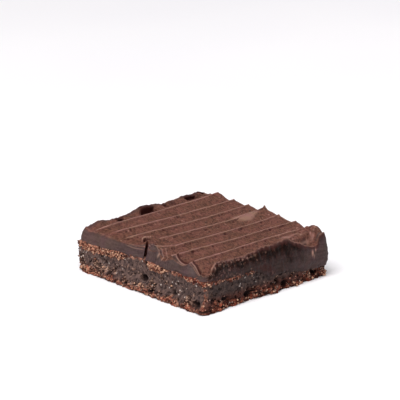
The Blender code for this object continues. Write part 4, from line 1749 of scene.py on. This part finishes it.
    def shape(self, piece: bpy.types.Object) -> None:
        """Moves every point of the blank to its place and stores the marks for the finish.

        Args:
            piece: the blank.
        """
        points = read_points(piece)
        marks = np.zeros((len(CAKE_MARKS), len(points)))
        for i, (across, along, level) in enumerate(points.tolist()):
            ring = round(level / RING_STEP)
            way = math.atan2(along, across) / (2.0 * math.pi) * self.plan.perimeter
            x, y = self.plan.outline(way)
            exposed = self.plan.icing_bottom(x, y) + 0.1
            if ring <= self.rings:
                height = 0.0 if ring == 0 else exposed * (ring - 0.5) / (self.rings - 0.5)
                slack = self.base_edge if ring == 0 else 0.0
                point, marks[:, i] = self.side_point(way, height, slack)
            elif ring <= self.rings + 2:
                # Under the icing the side steps in twice, up to the crust's own height
                steps = ((0.9, exposed + 0.5), (1.3, self.plan.cake_top(x, y)))
                inset, height = steps[ring - self.rings - 1]
                point = Vector((x, y, height)) - self.plan.outward(x, y) * inset
                marks[0, i] = 0.3
            else:
                point = self.plan.joint_point(x, y, self.plan.cake_joint)
                marks[0, i] = 0.3
            points[i] = point
        write_points(piece, points * METRES)
        for name, values in zip(CAKE_MARKS, marks):
            write_mark(piece, name, values)

    def build(self) -> bpy.types.Object:
        """The finished and dressed cake.

        Returns:
            The piece.
        """
        piece = self.blank()
        self.shape(piece)
        face_outwards(piece)
        keep_inside(piece, "cake")
        dress(piece, self.finish.material())
        return piece


# ---------------------------------------------------------------- crumbs


class CrumbKind(Enum):
    """What a crumb came from."""

    CRUST = "crust_crumbs"
    CRUMB = "cake_crumbs"
    SPECK = "pale_specks"


@dataclass
class Crumbs:
    """Small crumbs of one kind that cling to the cut faces, joined to one mesh."""

    kind: CrumbKind
    finish: LooseCrumb
    count: int
    smallest: float
    largest: float
    seed: int
    sunk: float = 0.35  # how far the middle stands out of the cake, in radii
    shapes: int = 6
    rarity: float = 2.5  # the higher, the fewer crumbs are large
    full_turn: float = 6.28
    flattening: float = 0.55  # the most that a crumb is pressed flat along an axis
    lowest: float = 0.6  # crumbs stick to the side between these two heights
    highest: float = 14.6

    def model(self, number: int) -> tuple[np.ndarray, np.ndarray]:
        """One crumb: a small ball with knocked-in sides, as points and triangles.

        Args:
            number: the number of the shape.

        Returns:
            Its points, in radii, and its triangles.
        """
        bpy.ops.object.select_all(action="DESELECT")
        bpy.ops.mesh.primitive_ico_sphere_add(subdivisions=2, radius=1.0)
        piece = name_new("crumb_model")
        open_edit(piece, "VERT", "SELECT")
        bpy.ops.transform.vertex_random(offset=0.3, seed=self.seed + number)
        close_edit()
        points = read_points(piece)
        # Broad dents and swellings, another set for each shape
        for i, point in enumerate(points):
            points[i] *= 0.8 + 0.45 * grain(*(2.0 * point), 1.0, 3.0 * number + self.seed)
        faces = np.array([list(face.vertices) for face in piece.data.polygons])
        bpy.data.objects.remove(piece)
        return points, faces

    def weights(self, cake: bpy.types.Object, points: np.ndarray, normals: np.ndarray) -> np.ndarray:
        """How likely a crumb is to sit at each vertex of the cake.

        Args:
            cake: the dressed cake.
            points: its vertices, in millimetres.
            normals: their directions.

        Returns:
            One weight for each vertex.
        """
        marks = {name: read_mark(cake, name) for name in CAKE_MARKS}
        crust, torn = marks["crust"], marks["torn"]
        height = points[:, 2]
        open_side = (np.abs(normals[:, 2]) < 0.9) & (height > self.lowest) & (height < self.highest)
        left_back = (points[:, 0] < -30.0) & (points[:, 1] > 22.0)
        weights = {
            CrumbKind.CRUST: np.clip(crust - 0.3, 0.0, 1.0) + 0.08 * torn,
            CrumbKind.CRUMB: 0.15 + torn,
            CrumbKind.SPECK: np.clip(1.0 - crust, 0.0, 1.0) * (0.4 + 2.0 * left_back),
        }[self.kind]
        return weights * open_side * (1.0 - 0.8 * marks["pit"]) * (1.0 - 0.6 * marks["smeared_and_shade"])

    def build(self, cake: bpy.types.Object) -> bpy.types.Object:
        """Scatters the crumbs over the cake's side and joins them.

        Args:
            cake: the dressed cake.

        Returns:
            The piece.
        """
        draw = np.random.default_rng(self.seed)
        points = read_points(cake) / METRES
        normals = np.empty(len(points) * 3)
        cake.data.vertices.foreach_get("normal", normals)
        normals = normals.reshape(-1, 3)
        weights = self.weights(cake, points, normals)
        places = draw.choice(len(points), self.count, replace=False, p=weights / weights.sum())
        models = [self.model(number) for number in range(self.shapes)]
        all_points, all_faces, tones = [], [], []
        offset = 0
        low, high = (np.array(corner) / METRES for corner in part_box("cake"))
        for place in places:
            shape, faces = models[draw.integers(self.shapes)]
            size = self.smallest + (self.largest - self.smallest) * draw.random() ** self.rarity
            radius = 0.5 * size
            turn = Matrix.Rotation(draw.random() * self.full_turn, 3, Vector(draw.normal(size=3)))
            squash = 1.0 - self.flattening * draw.random(3)
            centre = points[place] + normals[place] * radius * self.sunk
            made = (shape * squash * radius) @ np.array(turn).T + centre
            tone = draw.random()
            # A crumb that would reach out of the cake's own box is left out
            if (made.min(axis=0) < low).any() or (made.max(axis=0) > high).any():
                continue
            all_points.append(made)
            all_faces.append(faces + offset)
            tones.append(np.full(len(made), tone))
            offset += len(made)
        mesh = bpy.data.meshes.new(self.kind.value)
        joined = np.concatenate(all_points) * METRES
        mesh.from_pydata(joined.tolist(), [], np.concatenate(all_faces).tolist())
        piece = bpy.data.objects.new(self.kind.value, mesh)
        bpy.context.scene.collection.objects.link(piece)
        write_mark(piece, "tone", np.concatenate(tones))
        dress(piece, self.finish.material())
        return piece


# ---------------------------------------------------------------- studio


@dataclass
class Studio:
    """The pale table, the soft light and the camera, in metres and watts."""

    paper: StudioPaper
    eye: tuple[float, float, float] = (-0.73305, -0.79621, 0.37819)
    gaze: tuple[float, float, float] = (0.64457, 0.70162, -0.30375)
    lens_mm: float = 234.0
    sensor_mm: float = 36.0
    clip: tuple[float, float] = (0.01, 50.0)
    light_distance: float = 1.6
    # Name, direction, size and power of each soft light
    lamps: tuple[tuple[str, tuple[float, float, float], float, float], ...] = (
        ("window_light", (-0.5, -0.16, 0.85), 1.4, 33.0),
        ("side_reflector", (0.85, -0.1, 0.5), 1.2, 7.5),
    )
    sky: float = 0.3
    sky_colour: tuple[float, float, float, float] = (1.0, 0.985, 1.0, 1.0)
    paper_side: float = 9.0

    def floor(self) -> bpy.types.Object:
        """The paper that the object lies on, flat and large enough to fill the view.

        Returns:
            The piece.
        """
        bpy.ops.object.select_all(action="DESELECT")
        bpy.ops.mesh.primitive_plane_add(size=self.paper_side, location=(0.0, 0.0, 0.0))
        piece = name_new("table_paper")
        open_edit(piece, "FACE", "SELECT")
        bpy.ops.mesh.subdivide(number_cuts=4)
        close_edit()
        piece.data.materials.append(self.paper.material())
        return piece

    def lights(self) -> None:
        """A large soft light from the left, a weak one from the right, and a dim sky."""
        for name, towards, size, power in self.lamps:
            direction = Vector(towards).normalized()
            data = bpy.data.lights.new(name, "AREA")
            data.shape = "DISK"
            data.size = size
            data.energy = power
            light = bpy.data.objects.new(name, data)
            light.location = direction * self.light_distance
            light.rotation_euler = direction.to_track_quat("Z", "Y").to_euler()
            bpy.context.scene.collection.objects.link(light)
        world = bpy.data.worlds.new("studio_room")
        world.use_nodes = True
        background = world.node_tree.nodes["Background"]
        background.inputs["Color"].default_value = self.sky_colour
        background.inputs["Strength"].default_value = self.sky
        bpy.context.scene.world = world

    def camera(self) -> None:
        """The camera at the photograph's place and angle."""
        data = bpy.data.cameras.new("camera")
        data.lens, data.sensor_width = self.lens_mm, self.sensor_mm
        data.clip_start, data.clip_end = self.clip
        camera = bpy.data.objects.new("camera", data)
        camera.location = self.eye
        camera.rotation_euler = Vector(self.gaze).to_track_quat("-Z", "Y").to_euler()
        bpy.context.scene.collection.objects.link(camera)
        bpy.context.scene.camera = camera

    def build(self) -> bpy.types.Object:
        """Sets up the light and the camera and returns the floor.

        Returns:
            The floor.
        """
        self.lights()
        self.camera()
        bpy.context.scene.view_settings.view_transform = "Standard"
        return self.floor()


def main() -> None:
    """Builds the studio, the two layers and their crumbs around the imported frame."""
    logging.basicConfig(level=logging.INFO, format="%(name)s: %(message)s")
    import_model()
    floor = Studio(StudioPaper()).build()
    plan = Plan()
    icing = CombedIcing(plan, FudgeIcing()).build()
    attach(icing, BODY)
    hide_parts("icing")
    cake = Cake(plan, BakedCrumb()).build()
    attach(cake, BODY)
    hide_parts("cake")
    pieces = [icing, cake]
    crust = LooseCrumb("dry_crust_crumb", "#2a110b", "#7b4c3b", "#c2967c")
    crumb = LooseCrumb("damp_cake_crumb", "#2a1a17", "#563f38", "#8d7164")
    speck = LooseCrumb("pale_speck", "#776159", "#a08c82", "#c6b7ad")
    for crumbs in (
        Crumbs(CrumbKind.CRUST, crust, count=2200, smallest=0.4, largest=1.6, seed=11),
        Crumbs(CrumbKind.CRUMB, crumb, count=1000, smallest=0.4, largest=1.3, seed=12),
        Crumbs(CrumbKind.SPECK, speck, count=150, smallest=0.4, largest=0.9, seed=13),
    ):
        piece = crumbs.build(cake)
        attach(piece, BODY)
        pieces.append(piece)
    for piece in pieces:
        LOG.info("%s: %d triangles", piece.name, sum(len(p.vertices) - 2 for p in piece.data.polygons))


if __name__ == "__main__":
    main()
